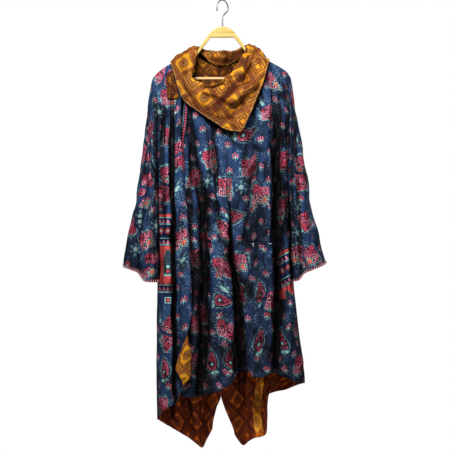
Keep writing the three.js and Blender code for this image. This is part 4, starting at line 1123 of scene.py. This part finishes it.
def sleeve_grid(edge, fold_at, rings, outward):
    """The sleeve from the armhole's rim through its rings, each an oval worked out round a turn. There
    inward is (1 - cos) / 2, from 0 at the outer end to 1 at the inner one; the depth goes by |sin|^0.8,
    less a bell where the long fold takes the cloth in; and the drop falls inward evenly, or, in the share
    called lobes, by OUTER_FALL of that and then by a step at the fold, 1 / (1 + exp(-(inward - fold_at) /
    STEP_WIDTH)). In front the inner edge leans towards the body."""
    turn = np.arange(SLEEVE_COLUMNS) / SLEEVE_COLUMNS * 2 * np.pi
    inward = (1 - np.cos(turn)) / 2
    front = np.sin(turn) > 0
    half = (ARMHOLE["bottom"] - ARMHOLE["top"]) / 2
    drops = ARMHOLE["top"] + half - half * np.cos(turn)
    drawn = [np.stack([through(*edge, drops) + outward * SEAM_GAP, -ARMHOLE["half depth"] * np.sin(turn),
                       drops], axis=-1)]
    step = 1 / (1 + np.exp(-(inward - fold_at) / STEP_WIDTH))
    stepped = OUTER_FALL * inward * (1 - step) + step
    dent = np.exp(-(((inward - fold_at) / FOLD_WIDTH) ** 2))
    lean = LEAN * np.exp(-(((inward - 0.95) / 0.08) ** 2)) * front
    for outer, inner, depth, front_fold, back_fold, lobes in rings:
        taken = np.where(front, front_fold, back_fold)
        y = -depth / 2 * (1 - taken * dent) * np.sign(np.sin(turn)) * np.abs(np.sin(turn)) ** 0.8
        falls = inward + (stepped - inward) * lobes
        drawn.append(np.stack([outer[0] + (inner[0] - outer[0]) * inward - outward * lean, y,
                               outer[1] + (inner[1] - outer[1]) * falls], axis=-1))
    at = np.linspace(0, len(drawn) - 1, SLEEVE_ROWS)
    return through(np.arange(len(drawn)), np.stack(drawn), at)


def sew_cuff(side, grid):
    """Red edging round the cuff, with blanket stitches up over it: white ones, and red ones 2 mm beside
    them and 3 mm higher."""
    cuff = grid[-1]
    edging = cuff[None] + (0, 0, 0.6)
    threads(f"cuff_{side}_edging", edging, radius=1.5, color=red_thread, closed=True, sides=8)
    run = lengths_along(cuff)
    at = np.arange(0, run[-1], BLANKET_PITCH)
    out = normals_of(grid, True)[-2]
    out *= np.sign((out * (cuff - cuff.mean(axis=0)) * (1, 1, 0)).sum(axis=1, keepdims=True))
    foot, face = at_lengths(at, run, cuff)[:, None], at_lengths(at, run, out)[:, None]
    share = np.linspace(0, 1, 5)[None, :, None]
    stitches = foot + face * (1.2 + 0.7 * np.sin(share * 3)) - share * (0, 0, BLANKET_STITCH) + (0, 0, 1)
    threads(f"cuff_{side}_blanket_stitches", stitches, radius=0.5, color=white_thread)
    threads(f"cuff_{side}_red_stitches", stitches + (2, 0, -3), radius=0.6, color=red_thread)


for side, (edge, fold_at, rings) in SLEEVES.items():
    outward = math.copysign(1, edge[1][0])
    grid = creased(sleeve_grid(edge, fold_at, rings, outward), SLEEVE_CREASES[side], closed=True, seed=41)
    u, v = cloth_lengths(grid, 0, closed=True)
    sleeve = cloth_mesh(f"sleeve_{side}_cloth", grid, closed=True, inside_out=side == "right")
    give(sleeve, "cloth", u, v, shaded(grid, SLEEVE_SHADES[side]))
    motifs = find(grid, u, v, SLEEVE_MOTIFS[side])
    draw = np.random.default_rng(len(side) + 2)
    behind = [(at_u, at_v + draw.normal(0, 14), draw.normal(0, 5), draw.integers(1, 5))
              for at_v in np.arange(v.min() + 60, v.max() - 30, SLEEVE_MOTIF_PITCH[1])
              for at_u in (-SLEEVE_MOTIF_PITCH[0] * outward, -2 * SLEEVE_MOTIF_PITCH[0] * outward)]
    lay_print(sleeve, u, v, motifs + behind, seed=9)
    walled(sleeve, navy, mustard)
    sew_cuff(side, grid)
    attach(sleeve, "root")
    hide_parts(f"sleeve_{side}")

# ---- The collar ----
# A wide shawl collar, mustard outside, that rises from the neck seam, rolls over and falls in a
# cowl to its free edge, with a point in front.
COLLAR = [
    # neck seam, rolled fold, free edge, lip, tuck, deep
    ("back", (-3, 26, 202), (0, 42, 155), (-5, 60, 288), 24, 0.6, 4),
    ("back right", (36, 22, 190), (38, 36, 151), (66, 58, 272), 20, 0.6, 5),
    ("behind the right neck", (68, 10, 160), (66, 18, 142), (134, 36, 214), 2, 0.6, 3),
    ("right shoulder", (84, 0, 149), (82, 0, 134), (146, 0, 182), 0, 0.5, 0),
    ("before the right shoulder", (80, -15, 176), (74, -22, 150), (140, -34, 205), 2, 0.3, 6),
    ("right front", (68, -36, 220), (60, -45, 185), (126, -56, 252), 4, 0.34, 11),
    ("right lapel", (50, -42, 270), (34, -55, 221), (106, -67, 304), 5, 0.5, 12),
    ("right of the point", (30, -45, 296), (8, -61, 244), (82, -73, 360), 5, 0.64, 12),
    ("point", (4, -47, 314), (-18, -63, 257), (54, -76, 408), 6, 0.62, 14),
    ("front", (-26, -47, 318), (-48, -63, 260), (14, -76, 402), 6, 0.58, 14),
    ("left of the front", (-58, -46, 316), (-74, -61, 255), (-22, -74, 381), 6, 0.62, 12),
    ("left lapel", (-92, -45, 308), (-92, -58, 243), (-76, -70, 345), 6, 0.72, 8),
    ("left front", (-106, -40, 273), (-98, -50, 217), (-122, -63, 307), 4, 0.6, 5),
    ("before the left shoulder", (-84, -24, 190), (-90, -27, 168), (-150, -40, 228), 2, 0.5, 3),
    ("left shoulder", (-84, 0, 150), (-84, 0, 140), (-161, 0, 189), 0, 0.5, 0),
    ("behind the left neck", (-68, 10, 160), (-66, 18, 145), (-144, 36, 224), 2, 0.6, 3),
    ("back left", (-38, 22, 190), (-38, 36, 152), (-72, 58, 276), 20, 0.6, 5),
]
COLLAR_ROLL = 6
COLLAR_BULGE = 6
COLLAR_COLUMNS, COLLAR_ROWS = 16, 121


def collar_section(seam, fold, edge, lip, tuck, deep):
    """Points from the neck seam up the inner leg, which bows in by lip, over a roll and down to the free
    edge, bulging on each side of a tuck, deep at its share of the way down."""
    flip = np.array([1, 1, -1])
    start, top, end = (np.array(p, float) * flip for p in (seam, fold, edge))
    leg = end - top
    out = leg * (1, 1, 0)
    out /= np.linalg.norm(out)
    face = np.cross(leg, (-out[1], out[0], 0))
    face /= np.linalg.norm(face)
    face *= math.copysign(1, face @ out)
    down = np.array([0, 0, COLLAR_ROLL])

    def outer(t, raised):
        """The point at the share t of the outer leg, raised off it."""
        return top + leg * t + face * raised

    before_tuck = [outer(tuck * t, COLLAR_BULGE + deep * share) for t, share in ((0.5, 0.25), (0.87, 0))]
    return np.array([
        start,
        start + (top - start) * 0.28 - out * lip * 0.6,
        start + (top - start) * 0.62 - out * (lip + COLLAR_ROLL),
        top - out * COLLAR_ROLL - down,
        top,
        (top + out * COLLAR_ROLL - down + outer(0.12, COLLAR_BULGE)) / 2,
        *before_tuck,
        outer(tuck + (1 - tuck) * 0.1, COLLAR_BULGE * 0.5 - deep * 0.5),
        outer(tuck + (1 - tuck) * 0.5, COLLAR_BULGE * 0.6),
        end,
    ]) * flip


sections = np.stack([collar_section(*section[1:]) for section in COLLAR])
around = np.concatenate([sections, sections, sections])
order = np.arange(len(around)) - len(sections)
collar_grid = through(order, around, np.arange(len(sections) * COLLAR_COLUMNS) / COLLAR_COLUMNS)
collar_grid = through(np.arange(sections.shape[1]), collar_grid.transpose(1, 0, 2),
                      np.linspace(0, sections.shape[1] - 1, COLLAR_ROWS))
collar_grid = creased(collar_grid, [
    (136, 238, 34, 356, 7, 7),
    (118, 246, 0, 350, 8, -8),
    (80, 190, 58, 262, 5, -7),
    (-60, 280, 56, 332, 6, -6),
    (-74, 262, 44, 262, 7, 5),
    (-126, 214, -96, 300, 5, -4),
    (-140, 200, -110, 240, 5, 4),
    (-100, 330, 6, 378, 5, 3),
    (0, 344, 34, 396, 6, -4),
    (52, 330, 74, 372, 5, 4),
    (110, 160, 138, 214, 5, -4),
], closed=True, seed=51)
collar = cloth_mesh("collar_cloth", collar_grid, closed=True, inside_out=True)
# The lattice lies flat on the front, turned a little, and is wrapped on over each shoulder by half its
# size, so that it meets itself at the middle of the back.
LATTICE_TURN = math.radians(-14)
x, depth, drop = np.moveaxis(collar_grid, -1, 0)
cos, sin = math.cos(LATTICE_TURN), math.sin(LATTICE_TURN)
wrap = np.sign(x) * np.clip(depth + 30, 0, LATTICE_SIZE / 2)
# Painted shade in listed strips: under the roll and the cowl, in the tuck and the collar's folds.
give(collar, "cloth", x * cos - drop * sin + 18 + wrap, x * sin + drop * cos, shaded(collar_grid, [
    (-150, 204, -96, 316, 36, 0.45),
    (70, 244, -24, 338, 13, 0.95),
    (-60, 288, 20, 330, 7, 0.85),
    (30, 168, 84, 206, 14, 0.75),
    (-92, 326, -10, 376, 19, 0.75),
    (-40, 302, 22, 348, 22, 0.5),
    (78, 276, 16, 360, 9, 0.55),
    (6, 164, 66, 160, 12, 0.8),
    (-6, 182, 60, 190, 6, 0.6),
    (80, 176, 60, 256, 6, 0.85),
    (92, 268, 130, 230, 4, 0.5),
    (-122, 216, -104, 300, 4, 0.4),
    (-96, 190, -78, 240, 8, 0.4),
    (-30, 180, 70, 190, 9, 0.8),
    (6, 392, 40, 404, 4, 0.5),
    (20, 352, 44, 396, 4, 0.4),
]))
walled(collar, mustard, half_shaded_mustard)
threads("collar_edge_stitches", stitch_row(collar_grid, HEM_ROW, ends=(0, 1), outward=-1), HEM_THREAD,
        thread_color("straw thread", 214, 186, 128))
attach(collar, "root")
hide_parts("collar")

# ---- The hanger ----
# A flat beech board with a round trouser bar, both varnished, and a bright wire hook let into the top
# of the board. The frame's own solids show them, so only their materials are set.
def wood(name, red, green, blue):
    """Pale varnished wood with long faint grain along the board."""
    stuff = plain(name, {"Roughness": 0.42, "Coat Weight": 0.3, "Coat Roughness": 0.2})
    tree = stuff.node_tree
    place = add_node(tree, "ShaderNodeTexCoord", {})
    stretch = add_node(tree, "ShaderNodeMapping", {0: place.outputs["Object"], "Scale": (9, 60, 220)})
    grain = add_node(tree, "ShaderNodeTexNoise", {"Vector": stretch.outputs[0], "Scale": 1, "Detail": 5})
    streaks = Value(tree, grain.outputs[0]).rising(0.42, 0.75)
    dark = dye(red - 34, green - 40, blue - 44)
    tone = add_node(tree, "ShaderNodeMix", {0: streaks.socket, 6: dye(red, green, blue), 7: dark},
                    data_type="RGBA")
    tree.links.new(tone.outputs[2], tree.nodes["Principled BSDF"].inputs["Base Color"])
    return stuff


steel = plain("bright wire", {"Base Color": dye(150, 152, 158), "Metallic": 1, "Roughness": 0.5})
for node, stuff in (("hanger_board", wood("varnished beech", 216, 184, 104)),
                    ("hanger_bar", wood("beech bar", 220, 178, 116)), ("hanger_hook", steel)):
    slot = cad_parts[node].material_slots[0]
    slot.link = "OBJECT"
    slot.material = stuff

# ---- Camera, light and floor ----
# A long lens straight in front of the robe, which takes in SEEN_WIDTH there. A key light from above and
# a little to the left, a weak fill from the right, a light on the back, and a round pale floor below.
CAMERA_FAR = 11000
SEEN_MIDDLE = (10.85, 698.6)
SEEN_WIDTH = 1401.2
SENSOR = 36
LIT_POINT = (0, 0, -0.45)
camera = bpy.data.objects.new("camera", bpy.data.cameras.new("camera"))
camera.location = (SEEN_MIDDLE[0] * MM, -CAMERA_FAR * MM, -SEEN_MIDDLE[1] * MM)
camera.rotation_euler = (math.pi / 2, 0, 0)
camera.data.lens = SENSOR / SEEN_WIDTH * CAMERA_FAR
camera.data.clip_end = 50
bpy.context.scene.collection.objects.link(camera)
bpy.context.scene.camera = camera
world = bpy.data.worlds.new("world")
bpy.context.scene.world = world
world.use_nodes = True
nodes, links = world.node_tree.nodes, world.node_tree.links
seen = nodes.new("ShaderNodeLightPath")
strength = nodes.new("ShaderNodeMapRange")
strength.inputs["To Min"].default_value = 0.12
strength.inputs["To Max"].default_value = 1
links.new(seen.outputs["Is Camera Ray"], strength.inputs["Value"])
links.new(strength.outputs[0], nodes["Background"].inputs["Strength"])
nodes["Background"].inputs["Color"].default_value = (1, 1, 1, 1)
# name, place, size, power
for name, place, size, energy in (("key", (-0.4, -1.6, 1), 0.7, 74), ("fill", (1.6, -2.2, -0.5), 1.5, 7),
                                  ("back light", (0.9, 2.3, 0.4), 1.5, 24)):
    lamp = bpy.data.objects.new(name, bpy.data.lights.new(name, "AREA"))
    lamp.data.energy = energy
    lamp.data.size = size
    lamp.location = place
    towards = np.array(LIT_POINT) - place
    lamp.rotation_euler = (math.atan2(math.hypot(towards[0], towards[1]), -towards[2]), 0,
                           math.atan2(-towards[0], towards[1]))
    bpy.context.scene.collection.objects.link(lamp)
FLOOR_RADIUS, FLOOR_DROP, FLOOR_CORNERS = 1200, 1560, 64
turn = np.arange(FLOOR_CORNERS) / FLOOR_CORNERS * 2 * np.pi
rim = np.stack([FLOOR_RADIUS * np.cos(turn), FLOOR_RADIUS * np.sin(turn), turn * 0 + FLOOR_DROP], axis=-1)
floor = new_piece("floor", rim, [list(range(FLOOR_CORNERS))])
bpy.context.scene.view_settings.view_transform = "Standard"
